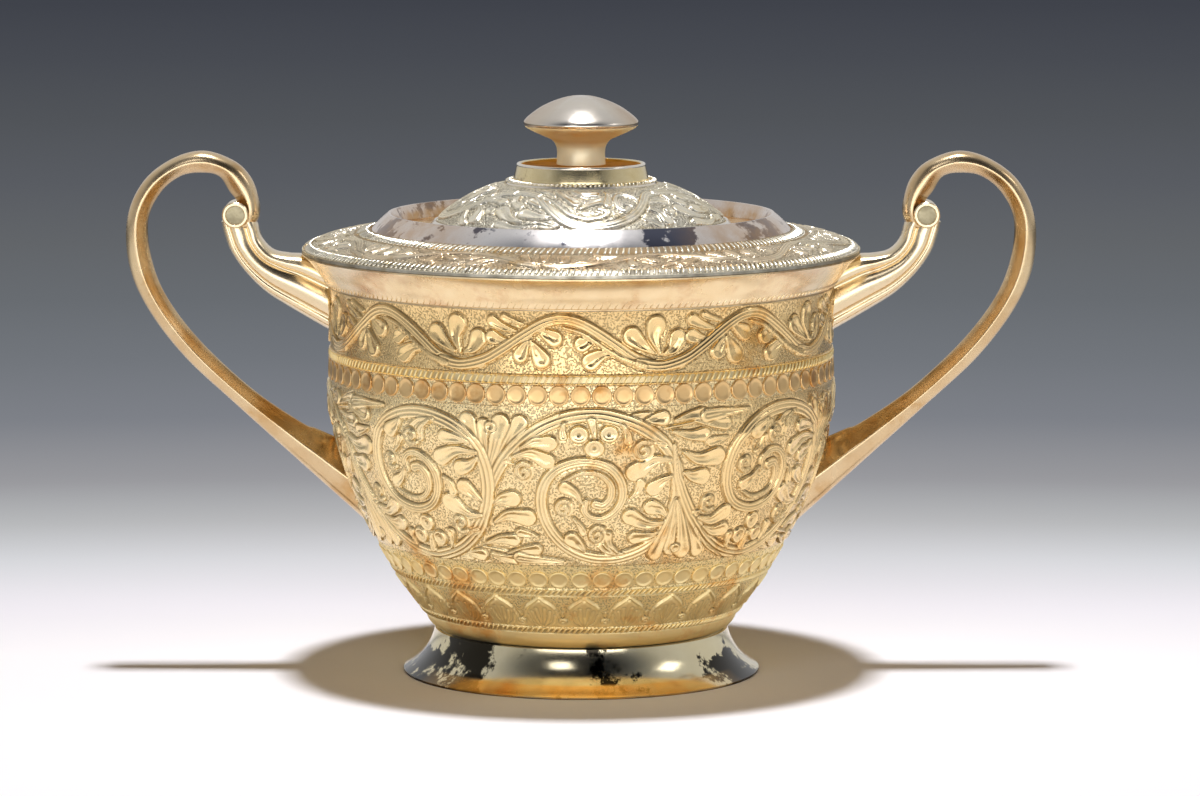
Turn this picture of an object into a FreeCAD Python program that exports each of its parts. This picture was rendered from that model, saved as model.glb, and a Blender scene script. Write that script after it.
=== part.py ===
import FreeCAD, Part
import math
import os

# A two-handled covered sugar bowl: sheet silver raised and spun to shape, with cast scroll handles.
# Lengths are in millimetres. The origin is the centre of the foot's base, Z points up and X runs along
# the handles. Outlines are drawn in the XZ plane, from the bottom or the outside to the top or the axis,
# so that the metal always lies on the left of an outline.

Vector = FreeCAD.Vector
ORIGIN = Vector(0, 0, 0)
UP = Vector(0, 0, 1)
OUT = Vector(1, 0, 0)
FULL_TURN = 360
HEX_SIDES = 6

# How far a cutting shape reaches past what it cuts, and how near an edge lies to the one looked for
overrun = 2.0
match_tolerance = 0.001

# Bowl: the corners of its outside, how far its curves stand off their chords, and its sheet
joint_radius = 28.9
joint_height = 8.7
belly_radius = 50.45
belly_height = 54.0
waist_radius = 49.95
waist_height = 72.4
rim_radius = 55.2
rim_height = 83.75
rim_lip = 0.3
side_bulge = 3.5
flare_hollow = 1.4
bowl_sheet = 0.9
base_corner_radius = 9.0
belly_round = 25.0

# Foot: a hollow-sided ring that flares under the bowl
foot_radius = 35.45
foot_edge_height = 0.45
foot_neck_step = 0.3
foot_hollow = 1.2
foot_sheet = 0.9

# Lid plate: a ring that lies on the bowl's rim, with a rolled edge and a gently domed top
lid_edge_height = 0.75
lid_sheet = 0.9
shoulder_width = 5.2
shoulder_rise = 2.35
shoulder_bulge = 0.3
plate_rise = 1.9
plate_bulge = 0.6

# Bezel: the upright ring under the plate that keeps the lid in the mouth of the bowl
bezel_depth = 6.0
bezel_sheet = 0.8
bezel_clearance = 0.4

# Step ring: a folded strip on the plate, with a wide outer slope and a steep inner wall
ring_foot_radius = 41.6
ring_top_radius = 38.2
ring_inner_radius = 36.4
ring_height = 3.35
ring_top_width = 0.5
ring_sheet = 0.6
ring_foot_width = 0.9

# Dome: raised from the plate inside the step ring
dome_radius = 30.2
dome_height = 9.15
dome_bulge = 1.65
dome_sheet = 0.9
dome_seat_width = 2.7

# Plinth: the dished collar that carries the knob
plinth_radius = 13.4
plinth_top_radius = 12.2
plinth_height = 3.35
plinth_sheet = 0.9
plinth_rim_width = 1.0
plinth_dish_depth = 0.35
plinth_edge_round = 0.45

# Knob: a mushroom with a waisted stem and a low pointed top
knob_radius = 11.35
knob_height = 13.65
stem_radius = 4.75
stem_height = 4.5
underside_rise = 3.0
knob_edge_height = 1.5
knob_top_bulge = 1.05
stem_round = 3.0
knob_edge_round = 0.7

# Stud, washer and nut that hold the knob from inside the lid
stud_radius = 1.75
stud_engagement = 7.0
stud_tail = 0.8
stud_clearance = 0.05
washer_radius = 4.6
washer_thickness = 0.8
nut_width = 7.0
nut_height = 2.8

# Handle loop: a strap of lens section from a broad shoe on the belly, out and over to a scroll
handle_reach = 34.9
arch_rise = 19.85
shoe_low_height = 27.0
shoe_high_height = 45.7
shoe_depth = 9.6
shoe_taper_shares = [0.35, 0.7]
wall_sink = 1.6
strap_depth = 6.6
# Places along the strap: outer edge, then inner edge, as shares of the reach past the rim and of the
# height from the shoe's low end to the top of the arch
strap_shares = [
    ((0.086, 0.218), (0.0115, 0.294)),
    ((0.381, 0.341), (0.289, 0.381)),
    ((0.673, 0.4665), (0.579, 0.505)),
    ((0.88, 0.592), (0.768, 0.619)),
    ((0.983, 0.705), (0.854, 0.719)),
    ((0.991, 0.825), (0.871, 0.82)),
    ((0.9, 0.919), (0.797, 0.893)),
    ((0.739, 0.978), (0.682, 0.935)),
    ((0.559, 1.0), (0.559, 0.943)),
    ((0.384, 0.975), (0.467, 0.933)),
    ((0.266, 0.932), (0.421, 0.9085)),
]

# Scroll: the strap winds round a roll with a sunk eye
eye_reach_share = 0.3725
eye_rise = 7.35
roll_radius = 2.85
roll_proud = 0.5
eye_radius = 1.95
eye_sink = 0.4
# The strap's outer and inner edge round the eye: angle from the outward direction in degrees, then the
# distances from the eye as shares of the roll's radius
scroll_shares = [(150, 2.12, 0.85), (185, 1.86, 0.6), (225, 1.4, 0.4), (265, 1.05, 0.3)]

# Bracket: the short scroll leg from under the roll to the rim and the waist
bracket_depth = 6.4
bracket_wall_depth = 9.4
bracket_high_drop = 3.4
bracket_low_drop = 17.0
# Places along the leg: upper edge, then lower edge, as shares of the way from the rim to the eye
bracket_shares = [
    ((0.72, 0.9), (1.1, 0.86)),
    ((0.6, 0.58), (1.17, 0.56)),
    ((0.515, 0.24), (1.09, 0.13)),
    ((0.32, -0.03), (0.885, -0.41)),
    ((0.015, -0.085), (0.515, -1.06)),
]
# Hollow behind the leg, where its end clears the bowl's flare
recess_drop = 11.5
recess_upright = 4.3
recess_inset = 0.3


def point(radius, height):
    """Return the point of the XZ plane at a radius and a height."""
    return Vector(radius, 0, height)


def between(start, end, shares):
    """Return the point at a (radius share, height share) of the way from start to end."""
    radius = start.x + shares[0] * (end.x - start.x)
    height = start.z + shares[1] * (end.z - start.z)
    return point(radius, height)


def left_of(direction):
    """Return the unit direction square to a direction, on its left in the XZ plane."""
    return Vector(-direction.z, 0, direction.x).normalize()


def bow(start, end, bulge):
    """Return an arc that stands off its chord by bulge, away from the metal, or towards it if negative."""
    middle = (start + end) / 2 - left_of(end - start) * bulge
    return Part.Arc(start, middle, end)


def chain(*points):
    """Return the straight pieces that join points in turn."""
    return [Part.LineSegment(start, end) for start, end in zip(points, points[1:])]


def inset(outline, distance):
    """Return an outline moved square to itself, into the metal on its left."""
    normals = []
    for piece in outline:
        ends = (piece.FirstParameter, piece.LastParameter)
        normals.append([left_of(piece.tangent(end)[0]) for end in ends])
    corners = [outline[0].StartPoint + normals[0][0] * distance]
    for piece, before, after in zip(outline, normals, normals[1:]):
        mitre = (before[1] + after[0]).normalize()
        corners.append(piece.EndPoint + mitre * (distance / mitre.dot(before[1])))
    corners.append(outline[-1].EndPoint + normals[-1][1] * distance)
    moved = []
    for piece, start, end in zip(outline, corners, corners[1:]):
        if piece.TypeId == "Part::GeomLineSegment":
            moved += chain(start, end)
        else:
            middle = (piece.FirstParameter + piece.LastParameter) / 2
            offset = left_of(piece.tangent(middle)[0]) * distance
            moved.append(Part.Arc(start, piece.value(middle) + offset, end))
    return moved


def turned(outline):
    """Return the solid that a closed outline sweeps round the axis."""
    edges = [piece.toShape() for piece in outline]
    face = Part.Face(Part.Wire(Part.__sortEdges__(edges)))
    return face.revolve(ORIGIN, UP, FULL_TURN)


def turned_sheet(outline, thickness):
    """Return the turned solid of a sheet whose outside follows an outline."""
    inside = inset(outline, thickness)
    first = chain(outline[0].StartPoint, inside[0].StartPoint)
    last = chain(outline[-1].EndPoint, inside[-1].EndPoint)
    return turned(outline + inside + first + last)


def tube(outer_radius, inner_radius, bottom, top):
    """Return an upright round tube."""
    height = top - bottom
    outside = Part.makeCylinder(outer_radius, height, point(0, bottom))
    inside = Part.makeCylinder(inner_radius, height, point(0, bottom))
    return outside.cut(inside)


def rounded(shape, circles, radius):
    """Return a turned shape with the edges at some (radius, height) circles rounded."""
    chosen = []
    for edge in shape.Edges:
        box = edge.BoundBox
        for circle_radius, height in circles:
            apart = max(abs(box.XMax - circle_radius), abs(box.ZMin - height), abs(box.ZMax - height))
            if apart < match_tolerance:
                chosen.append(edge)
    return shape.makeFillet(radius, chosen)


def main_solid(shape):
    """Return the largest solid of a cut shape."""
    return max(shape.Solids, key=lambda solid: solid.Volume)


# Bowl
joint = point(joint_radius, joint_height)
belly = point(belly_radius, belly_height)
waist = point(waist_radius, waist_height)
rim = point(rim_radius, rim_height - rim_lip)
side = bow(joint, belly, side_bulge)
joint_normal = left_of(side.tangent(side.FirstParameter)[0])
corner_centre = joint + joint_normal * base_corner_radius
corner_low = corner_centre - UP * base_corner_radius
corner_normal = (UP + joint_normal).normalize()
corner = Part.Arc(corner_low, corner_centre - corner_normal * base_corner_radius, joint)
base_centre = point(0, corner_low.z)
bowl_outline = chain(base_centre, corner_low) + [corner, side]
outline_side = len(bowl_outline) - 1
bowl_outline += chain(belly, waist) + [bow(waist, rim, -flare_hollow)]


def filled_bowl(outline, top, shoulder_round):
    """Return the solid inside an outline from the axis, filled to a height, with a soft shoulder."""
    start = outline[0].StartPoint
    end = outline[-1].EndPoint
    crease = outline[outline_side].EndPoint
    block = turned(outline + chain(end, point(end.x, top), point(0, top), start))
    return rounded(block, [(crease.x, crease.z)], shoulder_round)


bowl_block = filled_bowl(bowl_outline, rim_height, belly_round)
bowl_hollow = filled_bowl(inset(bowl_outline, bowl_sheet), rim_height + overrun, belly_round - bowl_sheet)


def radius_at(block, height):
    """Return the radius of a turned block at a height."""
    return max(wire.BoundBox.XMax for wire in block.slice(UP, height))


# Foot
def foot_ring():
    """Return the flared foot, cut to seat on the bowl."""
    edge = point(foot_radius, foot_edge_height)
    neck = point(joint_radius + foot_neck_step, joint_height)
    flare = bow(edge, neck, -foot_hollow)
    top = neck + flare.tangent(flare.LastParameter)[0] * overrun
    outline = chain(point(foot_radius, -overrun), edge) + [flare] + chain(neck, top)
    ground = Part.makeCylinder(foot_radius + overrun, overrun, point(0, -overrun))
    return main_solid(turned_sheet(outline, foot_sheet).cut(ground).cut(bowl_block))


# Lid plate
lid_edge = point(rim_radius, rim_height)
plate_edge = lid_edge + UP * lid_edge_height
shoulder = plate_edge + point(-shoulder_width, shoulder_rise)
plate_end = point(dome_radius - dome_seat_width, shoulder.z + plate_rise)
plate_top = [bow(plate_edge, shoulder, shoulder_bulge), bow(shoulder, plate_end, plate_bulge)]
lid_plate = turned_sheet(chain(lid_edge, plate_edge) + plate_top, lid_sheet)
plate_closing = chain(plate_end, point(0, plate_end.z), point(0, rim_height), lid_edge, plate_edge)
plate_block = turned(plate_top + plate_closing)


def plate_height(radius):
    """Return the height of the plate's top at a radius."""
    upright = Part.makeLine(point(radius, rim_height), point(radius, plate_end.z + overrun))
    return plate_block.common(upright).BoundBox.ZMax


# Bezel
def lid_bezel():
    """Return the bezel, clear of the bowl's inside all the way down and cut to seat under the plate."""
    bottom = rim_height - bezel_depth
    narrow = max(bottom, waist_height)
    outer = min(radius_at(bowl_hollow, bottom), radius_at(bowl_hollow, narrow)) - bezel_clearance
    inner = outer - bezel_sheet
    return main_solid(tube(outer, inner, bottom, plate_height(inner)).cut(lid_plate))


# Step ring
def lid_step_ring():
    """Return the folded ring, cut to seat on the plate."""
    outer_foot = point(ring_foot_radius, plate_height(ring_foot_radius))
    inner_foot = point(ring_inner_radius, plate_height(ring_inner_radius))
    low = outer_foot.z - overrun
    top = outer_foot.z + ring_height
    crest = [point(ring_top_radius, top), point(ring_top_radius - ring_top_width, top)]
    outer_low = point(ring_foot_radius, low)
    inner_low = point(ring_inner_radius, low)
    outside = turned(chain(outer_low, outer_foot, *crest, inner_foot, inner_low, outer_low))
    fold = (crest[0] + crest[1]) / 2 - UP * ring_sheet
    wide = ring_foot_radius - ring_foot_width
    narrow = ring_inner_radius + ring_foot_width
    wide_feet = [point(wide, low), point(wide, outer_foot.z)]
    narrow_feet = [point(narrow, inner_foot.z), point(narrow, low)]
    hollow = turned(chain(*wide_feet, fold, *narrow_feet, wide_feet[0]))
    return main_solid(outside.cut(hollow).cut(plate_block))


# Dome
dome_foot = point(dome_radius, plate_height(dome_radius))
dome_top = point(plinth_radius, dome_foot.z + dome_height)
dome_under_height = dome_top.z - dome_sheet
bore_radius = stud_radius + stud_clearance


def lid_dome():
    """Return the dome, flat under the plinth and cut to seat on the plate."""
    outline = chain(dome_foot - UP * overrun, dome_foot) + [bow(dome_foot, dome_top, dome_bulge)]
    outline += chain(dome_top, point(bore_radius, dome_top.z))
    return main_solid(turned_sheet(outline, dome_sheet).cut(plate_block))


# Plinth
plinth_top_height = dome_top.z + plinth_height
knob_seat_height = plinth_top_height - plinth_dish_depth


def finial_plinth():
    """Return the hollow collar with a dished top and a rounded upper edge."""
    dish_radius = plinth_top_radius - plinth_rim_width
    under_height = knob_seat_height - plinth_sheet
    outside = [point(plinth_radius, dome_top.z), point(plinth_top_radius, plinth_top_height)]
    dish = [point(dish_radius, plinth_top_height), point(dish_radius - plinth_dish_depth, knob_seat_height)]
    bore = [point(bore_radius, knob_seat_height), point(bore_radius, under_height)]
    inside_high = point(plinth_top_radius - plinth_sheet, under_height)
    inside_low = point(plinth_radius - plinth_sheet, dome_top.z)
    collar = turned(chain(*outside, *dish, *bore, inside_high, inside_low, outside[0]))
    return rounded(collar, [(plinth_top_radius, plinth_top_height)], plinth_edge_round)


# Knob
def finial_knob():
    """Return the knob, with a blind hole for the stud."""
    seat = point(stem_radius, knob_seat_height)
    neck = seat + UP * stem_height
    edge_low = point(knob_radius, neck.z + underside_rise)
    edge_high = edge_low + UP * knob_edge_height
    tip = point(0, knob_seat_height + knob_height)
    outline = chain(point(0, knob_seat_height), seat, neck, edge_low, edge_high)
    outline += [bow(edge_high, tip, knob_top_bulge)] + chain(tip, point(0, knob_seat_height))
    knob = rounded(turned(outline), [(stem_radius, neck.z)], stem_round)
    knob = rounded(knob, [(knob_radius, edge_low.z), (knob_radius, edge_high.z)], knob_edge_round)
    return knob.cut(Part.makeCylinder(bore_radius, stud_engagement, point(0, knob_seat_height)))


# Stud, washer and nut
washer_bottom = dome_under_height - washer_thickness
nut_bottom = washer_bottom - nut_height


def finial_stud():
    """Return the stud, from its tail below the nut to the end of the knob's hole."""
    bottom = nut_bottom - stud_tail
    return Part.makeCylinder(stud_radius, knob_seat_height + stud_engagement - bottom, point(0, bottom))


def finial_nut():
    """Return the hexagon nut under the washer."""
    corner_radius = nut_width / 2 / math.cos(math.pi / HEX_SIDES)
    turns = [math.tau * side_number / HEX_SIDES for side_number in range(HEX_SIDES + 1)]
    corners = [Vector(math.cos(turn), math.sin(turn), 0) * corner_radius for turn in turns]
    outline = Part.makePolygon([corner + point(0, nut_bottom) for corner in corners])
    prism = Part.Face(outline).extrude(UP * nut_height)
    return prism.cut(Part.makeCylinder(bore_radius, nut_height, point(0, nut_bottom)))


# Handles, made on the +X side and mirrored
eye = point(rim_radius + eye_reach_share * handle_reach, rim_height + eye_rise)


def lens_section(outer, inner, depth):
    """Return a section whose curved outer and inner faces meet in a ridge at the front and back."""
    middle = (outer + inner) / 2
    half_depth = Vector(0, depth / 2, 0)
    front = middle - half_depth
    back = middle + half_depth
    faces = []
    for start, crown, end in ((front, outer, back), (back, inner, front)):
        face = Part.BezierCurve()
        face.setPoles([start, crown * 2 - middle, end])
        faces.append(face.toShape())
    return Part.Wire(faces)


def lofted(places):
    """Return the smooth solid through places, each an outer edge, an inner edge and a depth."""
    return Part.makeLoft([lens_section(*place) for place in places], True)


def sunk_in_wall(height):
    """Return a point inside the bowl's wall at a height."""
    return point(radius_at(bowl_block, height) - wall_sink, height)


def handle_loop():
    """Return the strap and its scroll, cut to seat on the belly."""
    low = point(rim_radius, shoe_low_height)
    far = point(rim_radius + handle_reach, rim_height + arch_rise)
    strap = []
    for outer, inner in strap_shares:
        strap.append((between(low, far, outer), between(low, far, inner), strap_depth))
    seat = (sunk_in_wall(shoe_low_height), sunk_in_wall(shoe_high_height), shoe_depth)
    places = [seat]
    for share in shoe_taper_shares:
        places.append([start + (end - start) * share for start, end in zip(seat, strap[0])])
    places += strap
    for angle, outer, inner in scroll_shares:
        turn = math.radians(angle)
        ray = Vector(math.cos(turn), 0, math.sin(turn)) * roll_radius
        places.append((eye + ray * outer, eye + ray * inner, strap_depth))
    half_roll = Vector(0, strap_depth / 2 + roll_proud, 0)
    loop = lofted(places).fuse(Part.makeCylinder(roll_radius, half_roll.y * 2, eye - half_roll, half_roll))
    for face in (half_roll, -half_roll):
        loop = loop.cut(Part.makeCylinder(eye_radius, eye_sink, eye + face, -face))
    return main_solid(loop.cut(bowl_block))


def recess_block():
    """Return the round block that trims the bracket's end clear of the bowl's flare."""
    low = rim_height - recess_drop
    turn = point(rim_radius - recess_inset, rim_height - recess_upright)
    top = rim_height + overrun
    start = point(radius_at(bowl_block, low), low)
    return turned(chain(point(0, low), start, turn, point(turn.x, top), point(0, top), point(0, low)))


def handle_bracket(loop):
    """Return the leg under the scroll, cut to seat on the scroll, the rim and the waist."""
    count = len(bracket_shares)
    places = []
    for index, (upper, lower) in enumerate(bracket_shares):
        depth = bracket_depth + (bracket_wall_depth - bracket_depth) * index / count
        places.append((between(lid_edge, eye, upper), between(lid_edge, eye, lower), depth))
    upper_end = sunk_in_wall(rim_height - bracket_high_drop)
    lower_end = sunk_in_wall(rim_height - bracket_low_drop)
    seat = (upper_end, lower_end, bracket_wall_depth)
    places.append([(start + end) / 2 for start, end in zip(places[-1], seat)])
    places.append(seat)
    return main_solid(lofted(places).cut(recess_block()).cut(bowl_block).cut(loop))


# All pieces
right_loop = handle_loop()
right_bracket = handle_bracket(right_loop)
pieces = {
    "bowl_body": bowl_block.cut(bowl_hollow),
    "foot_ring": foot_ring(),
    "handle_right_loop": right_loop,
    "handle_left_loop": right_loop.mirror(ORIGIN, OUT),
    "handle_right_bracket": right_bracket,
    "handle_left_bracket": right_bracket.mirror(ORIGIN, OUT),
    "lid_plate": lid_plate,
    "lid_step_ring": lid_step_ring(),
    "lid_dome": lid_dome(),
    "lid_bezel": lid_bezel(),
    "finial_plinth": finial_plinth(),
    "finial_knob": finial_knob(),
    "finial_stud": finial_stud(),
    "finial_washer": tube(washer_radius, bore_radius, washer_bottom, dome_under_height),
    "finial_nut": finial_nut(),
}

os.makedirs("parts", exist_ok=True)
for name, shape in pieces.items():
    shape.exportStep(f"parts/{name}.step")
    box = shape.optimalBoundingBox()
    size = f"{box.XLength:.2f} x {box.YLength:.2f} x {box.ZLength:.2f}"
    print(f"{name}: {len(shape.Solids)} solid, valid {shape.isValid()}, {shape.Volume:.0f} mm3, {size} mm")
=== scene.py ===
"""A covered sugar bowl in chased silver, with cast scroll handles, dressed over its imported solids.

Sizes are in millimetres until a mesh is made. A flat point is a radius and a height above the table. A point
of a chased stroke is in degrees round the axis and millimetres across its band.
"""
from __future__ import annotations

import logging
import math
from collections.abc import Callable, Iterator, Sequence
from dataclasses import dataclass, field, replace
from enum import Enum
from functools import partial

import bmesh
import bpy
import numpy as np
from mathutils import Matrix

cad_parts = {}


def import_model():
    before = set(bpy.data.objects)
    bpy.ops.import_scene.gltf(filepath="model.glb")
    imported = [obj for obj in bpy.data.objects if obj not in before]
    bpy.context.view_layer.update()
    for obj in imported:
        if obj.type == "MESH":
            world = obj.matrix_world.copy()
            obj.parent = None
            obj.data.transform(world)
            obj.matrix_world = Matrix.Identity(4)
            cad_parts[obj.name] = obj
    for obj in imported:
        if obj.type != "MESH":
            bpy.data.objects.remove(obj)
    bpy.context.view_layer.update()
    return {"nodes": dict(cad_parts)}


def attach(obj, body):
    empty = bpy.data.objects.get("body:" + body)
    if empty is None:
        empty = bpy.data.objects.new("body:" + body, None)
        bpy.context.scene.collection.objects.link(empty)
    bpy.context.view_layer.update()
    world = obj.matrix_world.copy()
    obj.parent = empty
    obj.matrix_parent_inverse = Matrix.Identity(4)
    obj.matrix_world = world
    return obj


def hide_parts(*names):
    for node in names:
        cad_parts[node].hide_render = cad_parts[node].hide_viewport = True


LOG = logging.getLogger("sugar_bowl")
MM = 0.001
Point = tuple[float, float]
Rule = Callable[[np.ndarray], np.ndarray]
Piece = bpy.types.Object
Material = bpy.types.Material
# Height of a full leaf or floret
FULL = 0.52


class Body(Enum):
    """The two bodies that a piece can ride on."""

    BOWL = "bowl"
    LID = "lid"


class Slot(Enum):
    """The record's material slots."""

    CHASED = "chased_silver"
    POLISHED = "polished_silver"
    CAST = "cast_silver"
    PLAIN = "plain_silver"


class Side(Enum):
    """The two handles, by the sign of X."""

    LEFT = -1
    RIGHT = 1


# Nodes, colours and curves


def linear(code: str) -> tuple[float, float, float, float]:
    """Turn an sRGB hex code into a linear colour.

    Args:
        code: Six hex digits after a hash sign.

    Returns:
        Linear red, green, blue and an alpha of 1.
    """
    parts = [int(code[i : i + 2], 16) / 255 for i in (1, 3, 5)]
    light = [p / 12.92 if p <= 0.04045 else ((p + 0.055) / 1.055) ** 2.4 for p in parts]
    return (light[0], light[1], light[2], 1.0)


def add_node(
    tree: bpy.types.NodeTree, kind: str, inputs: dict | None = None, stops: Sequence = (), **settings: object
) -> bpy.types.NodeOutputs:
    """Add a node to a tree.

    Args:
        tree: The tree that gets the node.
        kind: The node's type name.
        inputs: Socket name or number to a value, or to a socket that is linked to it.
        stops: Place and sRGB code of each stop, where the node has a colour ramp.
        settings: Properties of the node itself.

    Returns:
        The new node's outputs.
    """
    node = tree.nodes.new(kind)
    for name, value in settings.items():
        setattr(node, name, value)
    for key, value in (inputs or {}).items():
        if isinstance(value, bpy.types.NodeSocket):
            tree.links.new(value, node.inputs[key])
        else:
            node.inputs[key].default_value = value
    for _ in stops[2:]:
        node.color_ramp.elements.new(0.5)
    for i, (share, code) in enumerate(stops):
        node.color_ramp.elements[i].position = share
        node.color_ramp.elements[i].color = linear(code)
    return node.outputs


def bell(values: np.ndarray, middle: float, width: float) -> np.ndarray:
    """Return a bell curve of height 1."""
    return np.exp(-(((values - middle) / width) ** 2))


def ease(share: np.ndarray) -> np.ndarray:
    """Return a share from 0 to 1 with a soft start and end."""
    return share * share * (3 - 2 * share)


def smooth_path(points: Sequence, per_span: int) -> np.ndarray:
    """Run a Catmull-Rom curve through points.

    Args:
        points: The points, in order.
        per_span: Samples between two neighbours.

    Returns:
        The curve's points, one row each.
    """
    knots = np.asarray(points, float)
    knots = np.vstack([2 * knots[0] - knots[1], knots, 2 * knots[-1] - knots[-2]])
    share = (np.arange(per_span) / per_span)[:, None]
    spans = []
    for before, start, end, after in zip(knots, knots[1:], knots[2:], knots[3:]):
        slope = (end - before) * share
        bend = (2 * before - 5 * start + 4 * end - after) * share**2
        twist = (3 * start - before - 3 * end + after) * share**3
        spans.append(start + (slope + bend + twist) / 2)
    return np.vstack([*spans, knots[-2][None]])


def bow(start: Point, end: Point, bulge: float, count: int) -> np.ndarray:
    """Sample an arc that stands off its chord.

    Args:
        start: First end, a flat point.
        end: Last end.
        bulge: How far the arc's middle stands to the right of the chord; not 0.
        count: Number of spans.

    Returns:
        The arc's points, both ends among them.
    """
    first, last = np.array(start), np.array(end)
    chord = last - first
    length = float(np.hypot(*chord))
    right = np.array([chord[1], -chord[0]]) / length
    radius = (length * length / 4 + bulge * bulge) / (2 * bulge)
    centre = (first + last) / 2 - right * (radius - bulge)
    turn = math.asin(length / 2 / abs(radius)) * np.linspace(-1, 1, count + 1)[:, None]
    return centre + chord / length * np.sin(turn) * abs(radius) + right * np.cos(turn) * radius


class Profile:
    """An outline of flat points, run from low or outside to high or inside."""

    def __init__(self, points: Sequence) -> None:
        """Keep the outline, its running length and the direction out of it.

        Args:
            points: The flat points.
        """
        self.points = np.asarray(points, float)
        steps = np.diff(self.points, axis=0)
        self.run = np.concatenate([[0.0], np.cumsum(np.hypot(steps[:, 0], steps[:, 1]))])
        slopes = np.gradient(self.points, self.run, axis=0)
        slopes /= np.hypot(slopes[:, 0], slopes[:, 1])[:, None]
        self.outward = np.column_stack([slopes[:, 1], -slopes[:, 0]])

    def run_at_height(self, height: float) -> float:
        """Return the running length at a height, on an outline that rises."""
        return float(np.interp(height, self.points[:, 1], self.run))

    def run_at_radius(self, radius: float) -> float:
        """Return the running length at a radius, on an outline that runs inwards."""
        return float(np.interp(-radius, -self.points[:, 0], self.run))

    def at(self, run: np.ndarray | float, lift: np.ndarray | float = 0.0) -> np.ndarray:
        """Find points on the outline, or off it.

        Args:
            run: Running lengths.
            lift: How far each point stands outside the outline.

        Returns:
            The flat points.
        """
        columns = []
        for axis in (0, 1):
            base = np.interp(run, self.run, self.points[:, axis])
            columns.append(base + np.interp(run, self.run, self.outward[:, axis]) * lift)
        return np.stack(columns, axis=-1)

    def strip(self, low: float, high: float, count: int, lift: float = 0.0) -> np.ndarray:
        """Return evenly spaced points of a stretch of the outline."""
        return self.at(np.linspace(low, high, count), lift)


# Pieces


def around(flat: np.ndarray, turn: np.ndarray) -> np.ndarray:
    """Carry flat points round the axis, by radians to the right from the front."""
    return np.stack([flat[..., 0] * np.sin(turn), -flat[..., 0] * np.cos(turn), flat[..., 1]], axis=-1)


def bearing(spots: np.ndarray) -> np.ndarray:
    """Return how far each point lies round from the front, in degrees, to the right as seen from there."""
    return np.degrees(np.arctan2(spots[:, 0], -spots[:, 1]))


def off_axis(spots: np.ndarray) -> np.ndarray:
    """Return each point's distance from the axis."""
    return np.hypot(spots[:, 0], spots[:, 1])


def patch_at(angles: np.ndarray, middle: float, half: float) -> np.ndarray:
    """Return a soft hump in bearing: 1 up to 0.6 half widths from its middle and 0 from 1.4 of them on."""
    return np.clip((1.4 * half - np.abs((angles - middle + 180) % 360 - 180)) / (0.8 * half), 0, 1)


def make_piece(name: str, vertices: np.ndarray, groups: Sequence[tuple[Sequence, bool]] = ()) -> Piece:
    """Make an object from vertices and groups of faces.

    Args:
        name: The piece's name.
        vertices: Positions in millimetres.
        groups: Faces as rows of vertex numbers, and whether they are shaded smooth.

    Returns:
        The object, in metres and linked to the scene.
    """
    mesh = bpy.data.meshes.new(name)
    rows = [list(face) for faces, _ in groups for face in faces]
    flags = [smooth for faces, smooth in groups for _ in faces]
    sizes = np.array([len(row) for row in rows], dtype=np.int32)
    corners = np.array([corner for row in rows for corner in row], dtype=np.int32)
    mesh.vertices.add(len(vertices))
    mesh.vertices.foreach_set("co", (np.asarray(vertices, float) * MM).astype(np.float32).ravel())
    mesh.loops.add(len(corners))
    mesh.loops.foreach_set("vertex_index", corners)
    mesh.polygons.add(len(rows))
    mesh.polygons.foreach_set("loop_start", (np.cumsum(sizes) - sizes).astype(np.int32))
    mesh.polygons.foreach_set("use_smooth", np.array(flags, dtype=bool))
    mesh.update(calc_edges=True)
    mesh.validate()
    piece = bpy.data.objects.new(name, mesh)
    bpy.context.scene.collection.objects.link(piece)
    return piece


def face_outwards(piece: Piece) -> None:
    """Turn a closed piece's faces outwards if they point inwards.

    Args:
        piece: The piece.
    """
    work = bmesh.new()
    work.from_mesh(piece.data)
    if work.calc_volume(signed=True) < 0:
        bmesh.ops.reverse_faces(work, faces=work.faces)
        work.to_mesh(piece.data)
    work.free()


def join_rings(name: str, rings: Sequence[np.ndarray], smooth_ends: bool = True) -> Piece:
    """Join rings of points into one closed piece.

    Args:
        name: The piece's name.
        rings: Rings of equally many points, or of one point where the piece closes.
        smooth_ends: Whether flat ends are shaded smooth.

    Returns:
        The piece.
    """
    starts = np.cumsum([0, *map(len, rings)])
    sides = max(map(len, rings))
    walls = []
    for low, high, below, above in zip(starts, starts[1:], rings, rings[1:]):
        for i in range(sides):
            j = (i + 1) % sides
            first = [low + i, low + j] if len(below) > 1 else [low]
            walls.append(first + ([high + j, high + i] if len(above) > 1 else [high]))
    ends = [range(sides)[::-1]] if len(rings[0]) > 1 else []
    ends += [range(starts[-2], starts[-1])] if len(rings[-1]) > 1 else []
    piece = make_piece(name, np.vstack(rings), [(walls, True), (ends, smooth_ends)])
    face_outwards(piece)
    return piece


def paint(piece: Piece, label: str, values: Rule | np.ndarray | float) -> None:
    """Give a piece a point attribute that its finish reads.

    Args:
        piece: The piece.
        label: The attribute's name.
        values: Values from 0 to 1, or a rule that gives them for the points' positions in millimetres.
    """
    count = len(piece.data.vertices)
    if callable(values):
        spots = np.empty(count * 3, np.float32)
        piece.data.vertices.foreach_get("co", spots)
        values = values(spots.reshape(-1, 3) / MM)
    shares = np.clip(np.broadcast_to(values, count), 0, 1).astype(np.float32)
    piece.data.attributes.new(label, "FLOAT", "POINT").data.foreach_set("value", shares)


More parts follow.
